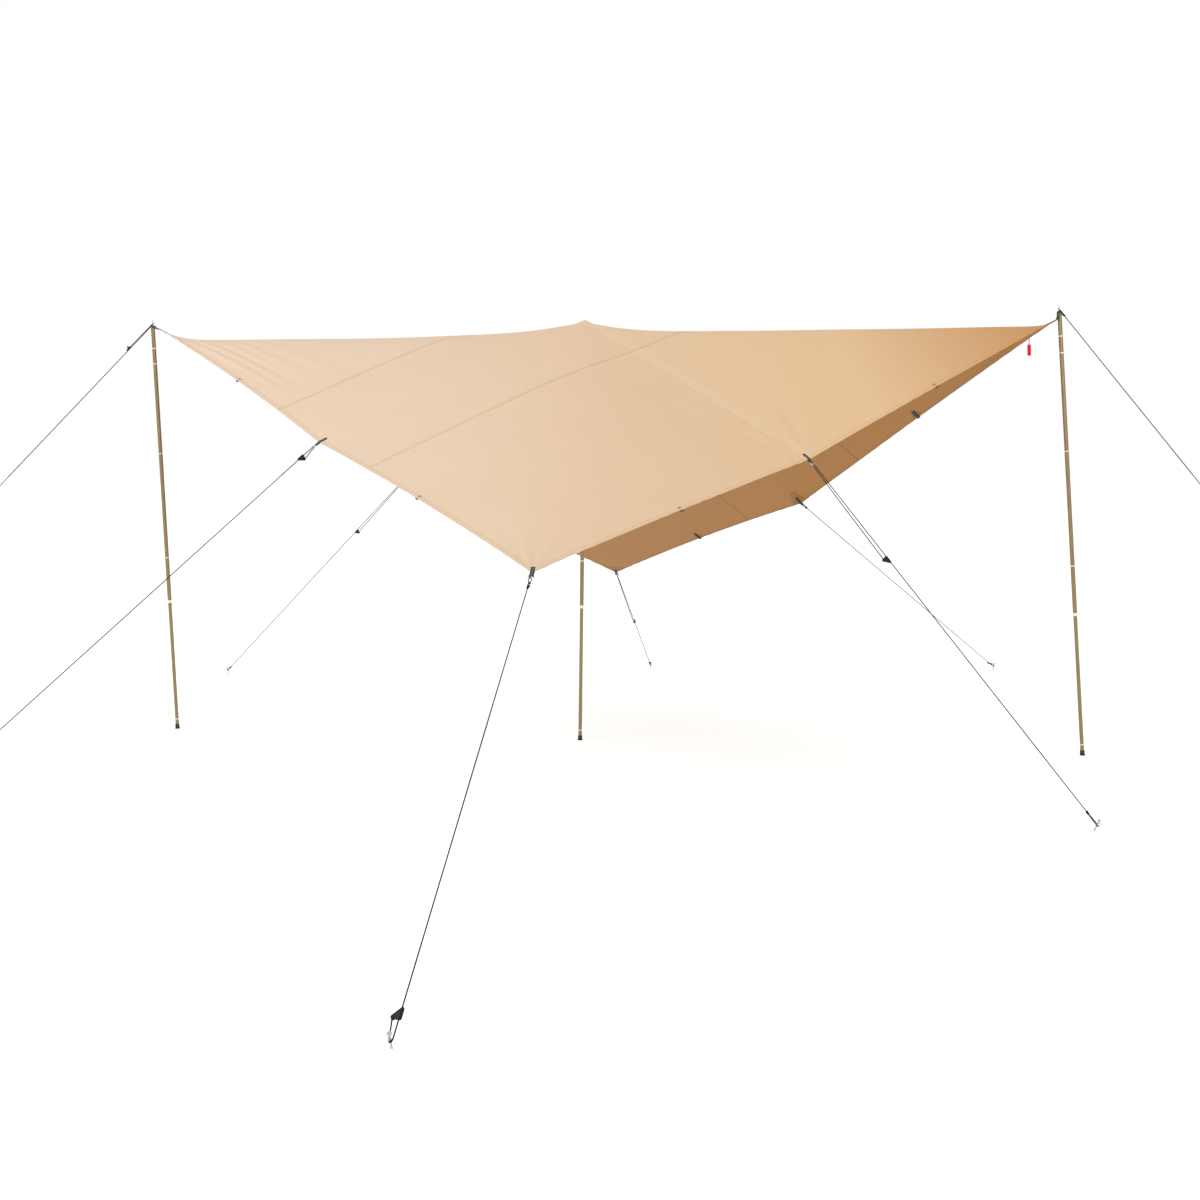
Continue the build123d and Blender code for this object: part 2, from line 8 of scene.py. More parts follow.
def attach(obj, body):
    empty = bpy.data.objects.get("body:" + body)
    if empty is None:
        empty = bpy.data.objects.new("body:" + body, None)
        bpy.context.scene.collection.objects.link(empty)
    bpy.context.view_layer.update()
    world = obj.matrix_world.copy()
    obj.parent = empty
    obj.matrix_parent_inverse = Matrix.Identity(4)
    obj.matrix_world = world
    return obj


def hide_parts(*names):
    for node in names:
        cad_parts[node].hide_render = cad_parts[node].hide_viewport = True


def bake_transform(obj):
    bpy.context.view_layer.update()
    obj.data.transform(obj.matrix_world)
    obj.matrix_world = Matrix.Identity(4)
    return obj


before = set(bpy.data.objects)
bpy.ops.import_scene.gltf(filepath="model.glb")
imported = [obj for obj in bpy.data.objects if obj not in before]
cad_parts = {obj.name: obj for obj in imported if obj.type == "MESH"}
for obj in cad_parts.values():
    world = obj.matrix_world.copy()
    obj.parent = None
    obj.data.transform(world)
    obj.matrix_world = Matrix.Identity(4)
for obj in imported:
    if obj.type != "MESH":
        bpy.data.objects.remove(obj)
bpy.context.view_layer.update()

# The pitched tarp shelter, in metres: +Z up, +X along the ridge, -Y the open front.

# ---- camera
EYE = (1.050, -8.442, 1.66)  # a standing person's eye, looking level
HEADING = 6.25  # degrees, anticlockwise from +Y
LENS = 40.8
FRAME_LIFT = -0.1045  # puts the level horizon above the frame's middle

# ---- driving dimensions, as in the CAD
SIDE = 4.0
SEAMS = (0.375, 0.625)
TIE_POINTS = {
    "left": (-2.766, 0.047, 2.606),
    "front_left": (-1.315, -1.130, 1.838),
    "front": (0.084, -2.415, 1.219),
    "front_right": (1.370, -1.080, 1.740),
    "right": (2.853, -0.136, 2.573),
    "back_right": (1.398, 0.780, 1.467),
    "back": (0.020, 2.118, 0.896),
    "back_left": (-1.380, 0.994, 1.622),
}
PEAK = (0.028, 0.024, 2.6265)
ORDER = list(TIE_POINTS)
CORNERS = (0, 0), (0.5, 0), (1, 0), (1, 0.5), (1, 1), (0.5, 1), (0, 1), (0, 0.5)
CLOTH_PLACES = dict(zip(ORDER, CORNERS))  # on the flat cloth, as shares of its side
POLE_LENGTH = 2.620
POLE_FEET = {"left": (-2.665, 0.100, 0.0), "right": (3.011, -0.134, 0.0)}
POLE_HEADS = {"left": (-2.810, 0.048, 2.616), "right": (2.884, -0.113, 2.617)}
STRAP_REACH = 0.012
RING_RADIUS = 0.0135
RING_BAR = 0.002
RING_REACH = 0.0185
CARABINER_LENGTH = 0.050
CARABINER_BAR = 0.0025
CARABINER_TURN = 35  # degrees that it lies turned about the line
LINE = 0.005
LINE_CLEAR = 0.0003
SPIKE_ROOT = 0.0045
LINE_ON_SPIKE = 0.024
SPIKE_SLANT = 0.0025
STAKE_RADIUS = 0.004
STAKE_EYES = {
    "left": (-4.266, -1.982, 0.030),
    "front_left": (-2.789, -2.826, 0.030),
    "front": (0.022, -4.610, 0.030),
    "front_right": (2.660, -1.901, 0.030),
    "right": (4.397, -1.738, 0.030),
    "back_right": (3.119, 3.424, 0.030),
    "back": (0.213, 3.179, 0.030),
    "back_left": (-3.270, 2.498, 0.030),
}
LOOP_AT_CLOTH = {"left": 0.240, "front_left": 0.095, "front_right": 0.650, "back": 0.650, "back_left": 0.650}
LOOP_AT_STAKE = {"front": 0.095, "right": 0.120, "back_right": 0.095}
PLATE_THICKNESS = 0.003
PLATE_HOLES = ((-0.017, 0.0), (0.015, 0.0), (0.011, -0.022))
TARP_BODY = "pitched_tarp"


# ---- small helpers
UP = Vector((0, 0, 1))
SHARP_ANGLE = math.radians(61)  # an edge that turns more than this isn't shaded smooth


def put(name, data):
    """A new object in the scene."""
    piece = bpy.data.objects.new(name, data)
    bpy.context.scene.collection.objects.link(piece)
    return piece


class Shape:
    """Collects the points, faces, surface coordinates and material numbers of one mesh."""

    def __init__(self):
        self.points, self.faces, self.uvs, self.numbers = [], [], [], []

    def add(self, points, faces, uvs, numbers=None):
        first = len(self.points)
        self.points += [tuple(point) for point in points]
        self.faces += [tuple(first + corner for corner in face) for face in faces]
        self.uvs += [tuple(uv) for uv in uvs]
        self.numbers += numbers or [0] * len(faces)

    def build(self, name, *materials):
        mesh = bpy.data.meshes.new(name)
        mesh.from_pydata(self.points, [], self.faces)
        for material in materials:
            mesh.materials.append(MATERIALS[material])
        mesh.polygons.foreach_set("material_index", self.numbers)
        mesh.polygons.foreach_set("use_smooth", [True] * len(self.faces))
        layer = mesh.uv_layers.new(name="surface")
        corners = np.empty(len(mesh.loops), np.int32)
        mesh.loops.foreach_get("vertex_index", corners)
        layer.data.foreach_set("uv", np.array(self.uvs, np.float32)[corners].ravel())
        mesh.update()
        mesh.set_sharp_from_angle(angle=SHARP_ANGLE)
        return put(name, mesh)


def unit(vector):
    return Vector(vector).normalized()


def curve_object(name, points, radius=0.0):
    """A smooth NURBS line with these control points."""
    curve = bpy.data.curves.new(name, "CURVE")
    curve.dimensions = "3D"
    spline = curve.splines.new("NURBS")
    spline.points.add(len(points) - 1)
    for place, point in zip(spline.points, points):
        place.co = (*point, 1.0)
    spline.order_u = 3
    spline.use_endpoint_u = True
    curve.bevel_depth = radius
    curve.use_fill_caps = True
    return put(name, curve)


def smooth_line(points):
    """The points along a NURBS line through these control points."""
    line = curve_object("route", points)
    mesh = bpy.data.meshes.new_from_object(line)
    found = [vertex.co.copy() for vertex in mesh.vertices]
    curve = line.data
    bpy.data.objects.remove(line)
    bpy.data.curves.remove(curve)
    bpy.data.meshes.remove(mesh)
    return found


def directions(path, closed=False):
    """The direction of a path at each of its points."""
    before, after = (path[-1:], path[:1]) if closed else (path[:1], path[-1:])
    return [unit(b - a) for a, b in zip(before + path[:-1], path[1:] + after)]


def both_sides(half, across):
    """A loop's control points, out on one side and back on the other. half has places and distances."""
    out = [place + across * wide for place, wide in half]
    return out + [place - across * wide for place, wide in reversed(half)]


def swept(shape, path, across, profile, closed=False):
    """A profile of x across, z up and coordinate v, carried along a path, with closed ends."""
    count, sides = len(path), len(profile)
    points, uvs, run = [], [], 0.0
    for i, (point, way, wide) in enumerate(zip(path, directions(path, closed), across)):
        wide = unit(wide - way * wide.dot(way))
        high = way.cross(wide)
        run += (point - path[i - 1]).length if i else 0.0
        points += [point + wide * x + high * z for x, z, _ in profile]
        uvs += [(run, v) for _, _, v in profile]
    faces = []
    for i in range(count if closed else count - 1):
        j = (i + 1) % count
        for k in range(sides):
            m = (k + 1) % sides
            faces.append((i * sides + k, i * sides + m, j * sides + m, j * sides + k))
    if not closed:
        faces += [tuple(range(sides))[::-1], tuple(range((count - 1) * sides, count * sides))]
    shape.add(points, faces, uvs)


def tube(shape, path, radius, sides=10, closed=False):
    """A round tube along a path."""
    path = [Vector(point) for point in path]
    along = directions(path, closed)
    start = UP if abs(along[0].z) < 0.9 else Vector((1, 0, 0))
    across, ways = unit(along[0].cross(start)), []
    for way in along:
        across = unit(across - way * across.dot(way))
        ways.append(across)
    turns = [2 * math.pi * k / sides for k in range(sides)]
    profile = [(radius * math.cos(turn), radius * math.sin(turn), radius * turn) for turn in turns]
    swept(shape, path, ways, profile, closed)


def webbing(shape, path, across, width):
    """A flat woven strip along a path, with rounded edges. across has one direction for each point."""
    half, side = width / 2, WEB_THICKNESS / 2
    level = [-half + side, *(half * share for share in (-0.4, -0.15, 0.15, 0.4)), half - side]
    rim = [(half, 0.0), *((x, side) for x in reversed(level)), (-half, 0.0), *((x, -side) for x in level)]
    swept(shape, path, across, [(x, z, x) for x, z in rim])


# ---- materials
class Paint:
    """A node material with a Principled shader and short names for the nodes it is built from."""

    def __init__(self, name, colour, roughness, metallic=0.0, **more):
        self.material = bpy.data.materials.new(name)
        self.material.use_nodes = True
        self.tree = self.material.node_tree
        self.shader = self.tree.nodes["Principled BSDF"]
        values = {"Base Color": (*colour, 1.0), "Roughness": roughness, "Metallic": metallic, **more}
        for socket, value in values.items():
            self.shader.inputs[socket.replace("_", " ")].default_value = value

    def feed(self, socket, value):
        """Gives a socket a value, or links another node's output to it."""
        if isinstance(value, bpy.types.NodeSocket):
            self.tree.links.new(value, socket)
        else:
            socket.default_value = value

    def node(self, kind, **values):
        node = self.tree.nodes.new(kind)
        for key, value in values.items():
            if hasattr(node, key):
                setattr(node, key, value)
            else:
                self.feed(node.inputs[key.replace("_", " ")], value)
        return node

    def math(self, operation, *values):
        node = self.node("ShaderNodeMath", operation=operation)
        for socket, value in zip(node.inputs, values):
            self.feed(socket, value)
        return node.outputs[0]

    def times(self, first, second):
        return self.math("MULTIPLY", first, second)

    def wave(self, value, length):
        """A sine along a coordinate, with waves of that length."""
        return self.math("SINE", self.times(value, 2 * math.pi / length))

    def noise(self, scale, detail):
        place = self.node("ShaderNodeTexCoord").outputs["Object"]
        return self.node("ShaderNodeTexNoise", Scale=scale, Detail=detail, Vector=place).outputs["Fac"]

    def coordinates(self, kind):
        """The parts of a coordinate, in metres: Object has x, y and z, and UV has u and v."""
        place = self.node("ShaderNodeTexCoord").outputs[kind]
        return self.node("ShaderNodeSeparateXYZ", Vector=place).outputs[:]

    def blend(self, share, first, second):
        """A colour between two, which are colours or sockets."""
        node = self.node("ShaderNodeMix", data_type="RGBA", Factor=share)
        for socket, value in ((node.inputs[6], first), (node.inputs[7], second)):
            self.feed(socket, value if isinstance(value, bpy.types.NodeSocket) else (*value, 1.0))
        return node.outputs[2]

    def tint(self, body, share, strength, colour):
        """body, taken that strongly towards a colour where share is 1."""
        return self.blend(self.times(share, strength), body, colour)

    def ramp(self, value, **limits):
        return self.node("ShaderNodeMapRange", Value=value, **limits).outputs["Result"]

    def finish(self, colour, height, strength, depth, rough, smoothest, roughest):
        """Sets the colour, the bump with its strength and depth, and the roughness between two limits."""
        bump = self.node("ShaderNodeBump", Strength=strength, Distance=depth, Height=height)
        self.feed(self.shader.inputs["Base Color"], colour)
        self.feed(self.shader.inputs["Normal"], bump.outputs["Normal"])
        self.feed(self.shader.inputs["Roughness"], self.ramp(rough, To_Min=smoothest, To_Max=roughest))
        return self.material


HEM = 0.028
SEAM_HALF = 0.010
LAP_SHADOW_HALF = 0.0032  # half the painted shadow line where a seam's upper layer ends
RIM = 0.007  # the narrow dark rim of the underside
STITCH_WIDTH = 0.0016
STITCH_PITCH = 0.006
STITCH_GAP = -0.3  # the thread is hidden where its wave is below this
SEAM_ROW = 0.7  # place of a seam's stitches, as a share of SEAM_HALF
HEM_ROW = 0.88  # place of the inner row of the hem's stitches, as a share of HEM
EDGE_ROW = 0.004  # place of the outer row
CANVAS_THREAD = 0.0011
RIDGE_LEAN = 0.35  # how far the painted light's change from left to right turns from x towards y
STRIPE_HALF = 0.0032
BRAID = 2400.0  # radians of the cord's diamonds to the metre


def near(paint, value, places, half):
    """1 within half of any of these places along a coordinate, else 0."""
    total = None
    for place in places:
        off = paint.math("ABSOLUTE", paint.math("SUBTRACT", value, place))
        here = paint.math("LESS_THAN", off, half)
        total = here if total is None else paint.math("MAXIMUM", total, here)
    return total


def near_edge(paint, u, v, half):
    """1 within half of the cloth's edges, else 0."""
    return paint.math("MAXIMUM", near(paint, u, (0.0, SIDE), half), near(paint, v, (0.0, SIDE), half))


def stitches(paint, along, across, places):
    """Dashes of thread along lines of constant across."""
    dash = paint.math("GREATER_THAN", paint.wave(along, STITCH_PITCH), STITCH_GAP)
    return paint.times(dash, near(paint, across, places, STITCH_WIDTH / 2))


def canvas(name, shades, thread_colour, through, edge_tone=0.0):
    """Polycotton canvas: plain weave, slubs, hem and seam stitching, a painted shadow line where each seam's
    upper layer ends, and light that comes through.

    shades are its colour on the left, in the middle and at the right corner: painted light, paler on the left,
    and painted shade deepening towards the right corner. edge_tone darkens its rim.
    """
    light, middle, deep = shades
    paint = Paint(name, light, 0.82, Sheen_Weight=0.12, Sheen_Roughness=0.45, Specular_IOR_Level=0.25)
    u, v, _ = paint.coordinates("UV")
    x, y, _ = paint.coordinates("Object")
    along = paint.math("ADD", x, paint.times(y, RIDGE_LEAN))
    # painted light and shade by place on the object: pale where the key light falls on the left, deepening
    # towards the right corner
    body = paint.blend(paint.ramp(along, From_Min=-1.2, From_Max=1.3), light, middle)
    body = paint.blend(paint.ramp(along, From_Min=1.5, From_Max=2.8), body, deep)
    cloud = paint.noise(2.3, 5.0)
    slub = paint.noise(420.0, 2.0)
    seams = [place * SIDE for place in SEAMS]
    doubled = paint.math("MAXIMUM", near(paint, u, seams, SEAM_HALF), near_edge(paint, u, v, HEM))
    # painted shadow: a dark line where each seam's upper layer ends
    lap_shadow = near(paint, u, [seam + SEAM_HALF for seam in seams], LAP_SHADOW_HALF)
    seam_rows = [seam + side * SEAM_HALF * SEAM_ROW for seam in seams for side in (-1, 1)]
    hem_rows = [HEM * HEM_ROW, SIDE - HEM * HEM_ROW, EDGE_ROW, SIDE - EDGE_ROW]
    rows = paint.math("MAXIMUM", stitches(paint, v, u, seam_rows + hem_rows), stitches(paint, u, v, hem_rows))
    for share, strength in ((cloud, 0.10), (slub, 0.07), (doubled, 0.08)):
        body = paint.tint(body, share, strength, deep)
    body = paint.tint(body, lap_shadow, 0.42, thread_colour)
    if edge_tone:
        body = paint.tint(body, near_edge(paint, u, v, RIM), edge_tone, thread_colour)
    body = paint.tint(body, rows, 0.75, thread_colour)
    weave = paint.times(paint.wave(u, CANVAS_THREAD), paint.wave(v, CANVAS_THREAD))
    height = paint.math("ADD", weave, paint.times(slub, 1.6))
    height = paint.math("SUBTRACT", height, paint.times(rows, 2.0))
    paint.finish(body, height, 0.35, 0.0004, cloud, 0.74, 0.90)
    back = paint.node("ShaderNodeBsdfTranslucent", Color=(*through, 1.0))
    mix = paint.node("ShaderNodeMixShader", Fac=0.16)
    paint.feed(mix.inputs[1], paint.shader.outputs[0])
    paint.feed(mix.inputs[2], back.outputs[0])
    paint.feed(paint.tree.nodes["Material Output"].inputs["Surface"], mix.outputs[0])
    return paint.material


def woven(name, base, stripe, thread=0.0016):
    """Ribbed webbing with a stripe down its middle."""
    paint = Paint(name, base, 0.72, Sheen_Weight=0.05, Specular_IOR_Level=0.2)
    u, v, _ = paint.coordinates("UV")
    middle = paint.math("LESS_THAN", paint.math("ABSOLUTE", v), STRIPE_HALF)
    height = paint.times(paint.wave(u, thread), paint.wave(paint.math("ADD", v, u), 2 * thread))
    flecks = paint.noise(900.0, 2.0)
    body = paint.tint(paint.blend(middle, base, stripe), flecks, 0.35, [value * 2.4 for value in base])
    return paint.finish(body, height, 0.6, 0.0004, flecks, 0.6, 0.85)


def braided(name, base, fleck):
    """Braided cord: a diamond pattern of strands in the object's own coordinates, with lighter flecks."""
    paint = Paint(name, base, 0.75, Specular_IOR_Level=0.2)
    x, y, z = paint.coordinates("Object")
    level = paint.math("ADD", x, y)
    strands = paint.times(*(paint.math("SINE", paint.times(paint.math(way, level, z), BRAID))
                            for way in ("ADD", "SUBTRACT")))
    flecks = paint.math("GREATER_THAN", paint.noise(650.0, 2.0), 0.62)
    return paint.finish(paint.tint(base, flecks, 0.4, fleck), strands, 0.5, 0.0005, strands, 0.5, 0.8)


def metal(name, base, worn, roughness, metallic=1.0, grain=260.0):
    """Metal with fine grain, soft blotches and brighter wear."""
    paint = Paint(name, base, roughness, metallic)
    fine = paint.noise(grain, 6.0)
    blotch = paint.noise(grain / 12, 3.0)
    wear = paint.ramp(paint.times(fine, blotch), From_Min=0.28, From_Max=0.42)
    body = paint.tint(base, wear, 0.6, worn)
    return paint.finish(body, fine, 0.12, 0.0002, blotch, roughness * 0.75, min(1.0, roughness * 1.3))


def moulded(name, base, roughness):
    """Moulded rubber or plastic with a fine matt grain."""
    paint = Paint(name, base, roughness)
    grain = paint.noise(900.0, 4.0)
    dust = paint.noise(60.0, 3.0)
    body = paint.tint(base, dust, 0.35, [value * 1.8 for value in base])
    return paint.finish(body, grain, 0.3, 0.0003, dust, roughness * 0.85, min(1.0, roughness * 1.15))


# Each cloth's colour on the left, in the middle and at the right corner: painted light, paler on the left, and
# painted shade deepening towards the right corner.
CANVAS_PAINTED_LIGHT = (0.690, 0.530, 0.376), (0.700, 0.486, 0.278), (0.520, 0.252, 0.080)
BAND_PAINTED_LIGHT = (0.702, 0.548, 0.398), (0.718, 0.508, 0.300), (0.540, 0.272, 0.094)
# The underside's colours are painted shade: the same canvas as the top, darker because it lies out of the
# light.
UNDER_PAINTED_SHADE = (0.450, 0.242, 0.100), (0.438, 0.232, 0.090), (0.420, 0.215, 0.078)
PATCH_PAINTED_LIGHT = (0.380, 0.200, 0.082), (0.370, 0.192, 0.076), (0.350, 0.178, 0.066)
THREAD = (0.45, 0.27, 0.12)

MATERIALS = {
    "canvas": canvas("canvas_top", CANVAS_PAINTED_LIGHT, THREAD, (0.62, 0.33, 0.12)),
    # painted shade: the underside is the top's canvas, coloured darker
    "underside": canvas("canvas_underside_painted_shade", UNDER_PAINTED_SHADE, (0.16, 0.08, 0.035), (0.62, 0.33, 0.12), 0.8),
    "reinforcement": canvas("canvas_reinforcement", BAND_PAINTED_LIGHT, THREAD, (0.5, 0.27, 0.1)),
    "patch": canvas("canvas_patch", PATCH_PAINTED_LIGHT, (0.20, 0.11, 0.05), (0.4, 0.2, 0.08)),
    "webbing": woven("webbing_dark", (0.008, 0.0085, 0.006), (0.13, 0.13, 0.12)),
    "tag": woven("tag_red", (0.50, 0.002, 0.006), (0.49, 0.003, 0.007), 0.0008),
    "guy_line": braided("guy_line_dark", (0.005, 0.005, 0.0055), (0.10, 0.10, 0.095)),
    "tensioner_metal": metal("tensioner_black", (0.018, 0.018, 0.020), (0.09, 0.09, 0.09), 0.42, 0.6),
    "bronze_tube": metal("bronze_anodised", (0.27, 0.195, 0.098), (0.33, 0.25, 0.13), 0.30, 1.0, 180.0),
    "bright_trim": metal("bright_trim", (0.72, 0.71, 0.68), (0.85, 0.85, 0.83), 0.28),
    "tip_cap": metal("tip_cap_grey", (0.22, 0.21, 0.19), (0.40, 0.39, 0.36), 0.45),
    "spike_steel": metal("spike_steel", (0.48, 0.48, 0.47), (0.66, 0.66, 0.65), 0.30),
    "ring_steel": metal("ring_steel", (0.52, 0.50, 0.46), (0.70, 0.68, 0.64), 0.34),
    "stake_steel": metal("stake_steel", (0.45, 0.45, 0.44), (0.66, 0.65, 0.62), 0.38),
    "carabiner_metal": metal("carabiner_dark", (0.055, 0.055, 0.058), (0.16, 0.16, 0.16), 0.36, 0.9),
    "foot_rubber": moulded("foot_rubber", (0.016, 0.016, 0.016), 0.8),
    "lock_plastic": moulded("lock_plastic", (0.30, 0.30, 0.28), 0.5),
}

CAD_FINISHES = {
    "foot": "foot_rubber", "foot_ring": "bright_trim", "silver_rings": "bright_trim", "tip_cap": "tip_cap",
    "lower_tube": "bronze_tube", "middle_tube": "bronze_tube", "upper_tube": "bronze_tube",
    "lock_spindle": "lock_plastic", "lock_sleeve": "lock_plastic", "tip_spike": "spike_steel",
}


def finish_cad_parts():
    """Gives each CAD node that stays its material."""
    finishes = {f"{side}_{part}": finish for side in ("left", "centre", "right")
                for part, finish in CAD_FINISHES.items()}
    finishes.update({f"tensioner_{name}": "tensioner_metal" for name in ORDER})
    finishes.update({"tie_rings": "ring_steel", "ground_stakes": "stake_steel",
                     "carabiner_body": "carabiner_metal", "carabiner_gate": "carabiner_metal"})
    for node, finish in finishes.items():
        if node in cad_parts:
            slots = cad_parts[node].data.materials
            slots.clear()
            slots.append(MATERIALS[finish])


# ---- where things are
def line_frame(name):
    """Directions at a tie point: along its line, across it and level, and square to both."""
    along = unit(Vector(STAKE_EYES[name]) - Vector(TIE_POINTS[name]))
    across = unit(UP.cross(along))
    return along, across, along.cross(across)


def edge_direction(name):
    i = ORDER.index(name)
    return unit(Vector(TIE_POINTS[ORDER[(i + 1) % 8]]) - Vector(TIE_POINTS[ORDER[i - 1]]))


def pole_axis(side):
    return unit(Vector(POLE_HEADS[side]) - Vector(POLE_FEET[side]))


def on_spike(side, height):
    """A point on a pole's spike, that far above the pole's shoulder."""
    return Vector(POLE_FEET[side]) + pole_axis(side) * (POLE_LENGTH + height)


def eye_start(name):
    return Vector(TIE_POINTS[name]) + line_frame(name)[0] * STRAP_REACH


def line_holder(name):
    if name in POLE_HEADS:
        return on_spike(name, LINE_ON_SPIKE)
    along = line_frame(name)[0]
    outer = eye_start(name) + along * (RING_REACH + RING_RADIUS)
    return outer + along * (CARABINER_LENGTH - 4 * CARABINER_BAR) if name == "front" else outer


def holder_radius(name):
    if name in POLE_HEADS:
        return SPIKE_ROOT
    return CARABINER_BAR if name == "front" else RING_BAR


def arc_round(radius):
    """The radius of a line's own middle where it goes round something of that radius."""
    return radius + LINE / 2 + LINE_CLEAR


def running_line(name):
    """The long straight run of a line: its two ends and the side that its loop opens away from."""
    holder, eye = line_holder(name), Vector(STAKE_EYES[name])
    along = unit(eye - holder)
    level = unit(UP.cross(along))
    if name in LOOP_AT_STAKE:
        return holder, eye + level * arc_round(STAKE_RADIUS), level
    side = level if name in POLE_HEADS else along.cross(level)
    return holder + side * arc_round(holder_radius(name)), eye, side


def tensioner_matrix(name):
    """A tensioner's frame on its line: x to the end with the loop, -y to the knotted leg."""
    start, end, side = running_line(name)
    along = unit(end - start)
    if name in LOOP_AT_CLOTH:
        middle, x = start + along * LOOP_AT_CLOTH[name], -along
    else:
        middle, x = end - along * LOOP_AT_STAKE[name], along
    z = unit(x.cross(side))
    return Matrix.Translation(middle) @ Matrix((x, z.cross(x), z)).transposed().to_4x4()


# ---- guy lines
LOOP_LEG = 0.024  # straight length of a line beside what it goes round
TIED_LOOP = dict(zip(ORDER, (0.060, 0.060, 0.030, 0.066, 0.046, 0.030, 0.034, 0.050)))  # length of each
KNOT_TURNS = 4
KNOT_STEPS = 14  # to a turn
KNOT_RADIUS = 0.0042
STRAND = 0.0022  # radius of a cord drawn tight in a knot
STOPPER_SIZE = 0.0017
STOPPER_STEPS = 48


def coil_knot(shape, middle, along):
    """A line's end wound round its standing part."""
    across = unit(along.orthogonal())
    other = along.cross(across)
    steps = KNOT_TURNS * KNOT_STEPS
    path = []
    for i in range(steps + 1):
        turn = 2 * math.pi * i / KNOT_STEPS
        rise = (i / steps - 0.5) * KNOT_TURNS * 2 * STRAND
        path.append(middle + along * rise + (across * math.cos(turn) + other * math.sin(turn)) * KNOT_RADIUS)
    tube(shape, path, STRAND, 8)


def stopper_knot(shape, middle, axis):
    """An overhand knot drawn tight: a trefoil of cord."""
    axis = unit(axis)
    across = unit(axis.orthogonal())
    other = axis.cross(across)
    path = []
    for i in range(STOPPER_STEPS):
        t = 2 * math.pi * i / STOPPER_STEPS
        x, y, z = math.sin(t) + 2 * math.sin(2 * t), math.cos(t) - 2 * math.cos(2 * t), -math.sin(3 * t)
        path.append(middle + (across * x + other * y + axis * z * 1.1) * STOPPER_SIZE)
    tube(shape, path, STRAND, 8, closed=True)


def tied_loop(name, holder, radius, away, side):
    """The end of a line tied round its holder: two legs and a wound knot. away points up the line."""
    arc, length = arc_round(radius), TIED_LOOP[name]
    neck = holder + away * length
    past = holder - away * (arc + 0.001)
    leg = min(LOOP_LEG, length * 0.6)
    route = both_sides([(neck, 0.002), (holder + away * leg, arc), (past, arc + 0.0005)], side)
    shape = Shape()
    tube(shape, smooth_line(route), LINE / 2)
    coil_knot(shape, neck, away)
    tail = unit(side - away * 0.35)
    tube(shape, [neck + side * 0.003, neck + side * 0.008 + away * 0.006, neck + tail * 0.018 + away * 0.012],
         STRAND * 0.9, 8)
    return shape.build(f"tied_loop_{name}", "guy_line"), neck


def dress_tensioner(name, matrix):
    """The cord's bight through the two holes on the line, and the knot behind the third."""
    back = -(LINE + 2 * LINE_CLEAR + PLATE_THICKNESS + 0.0006)
    plate = -(LINE / 2 + LINE_CLEAR + PLATE_THICKNESS / 2)
    (apex, _), (run, _), (knot_x, knot_y) = PLATE_HOLES
    path = [(apex - 0.006, 0.0012, 0.0), (apex, 0.0, plate), (apex + 0.004, 0.0, back),
            (run - 0.004, 0.0, back), (run, 0.0, plate), (run + 0.006, 0.0012, 0.0)]
    shape = Shape()
    tube(shape, smooth_line([matrix @ Vector(point) for point in path]), LINE / 2)
    axis = matrix.to_3x3() @ UP
    stub = [matrix @ Vector((knot_x, knot_y, z)) for z in (0.0, plate, back)]
    tube(shape, stub, LINE / 2)
    stopper_knot(shape, matrix @ Vector((knot_x, knot_y, back - 0.002)), axis)
    piece = shape.build(f"tensioner_lacing_{name}", "guy_line")
    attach(piece, f"tensioner_{name}")
    return piece


def opening_at_holder(name):
    """The side that a line's tied end opens to: square to the bar that it goes round."""
    _, across, square = line_frame(name)
    if name in POLE_HEADS:
        return across
    if name == "front":
        turn = math.radians(CARABINER_TURN)
        return across * math.cos(turn) + square * math.sin(turn)
    return square


def make_line(name):
    """One guy line: its run, the leg that comes back to the tensioner, its tied end and its lacing."""
    start, end, side = running_line(name)
    along = unit(end - start)
    matrix = tensioner_matrix(name)
    knot = matrix @ Vector((*PLATE_HOLES[2], 0.0))
    at_cloth, radius = name in LOOP_AT_CLOTH, holder_radius(name)
    if at_cloth:
        looped, arc, past, away = start, arc_round(radius), SPIKE_SLANT if name in POLE_HEADS else 0.0, along
        loop, neck = tied_loop(name, end, STAKE_RADIUS, -along, unit(UP.cross(along)))
    else:
        looped, arc, past, away = end, arc_round(STAKE_RADIUS), 0.001, -along
        loop, neck = tied_loop(name, start, radius, along, opening_at_holder(name))
    turn = looped - away * (arc + past)
    back = turn - side * (2 * arc)
    leg_start = back + away * (LOOP_LEG + arc)
    route = [leg_start, back, turn, looped + away * LOOP_LEG, (looped + neck) / 2, neck]
    if not at_cloth:
        route.reverse()
    run = curve_object(f"guy_cord_{name}", route, LINE / 2)
    run.data.materials.append(MATERIALS["guy_line"])
    for piece in (run, loop):
        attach(piece, TARP_BODY)
        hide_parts(f"guy_line_{name}")
    lacing = dress_tensioner(name, matrix)

    path = smooth_line([leg_start, (leg_start + knot) / 2 - UP * 0.001, knot])
    shape = Shape()
    tube(shape, path, LINE / 2, 12)
    leg = shape.build(f"guy_return_{name}", "guy_line")
    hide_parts(f"guy_line_{name}")
    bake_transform(leg)


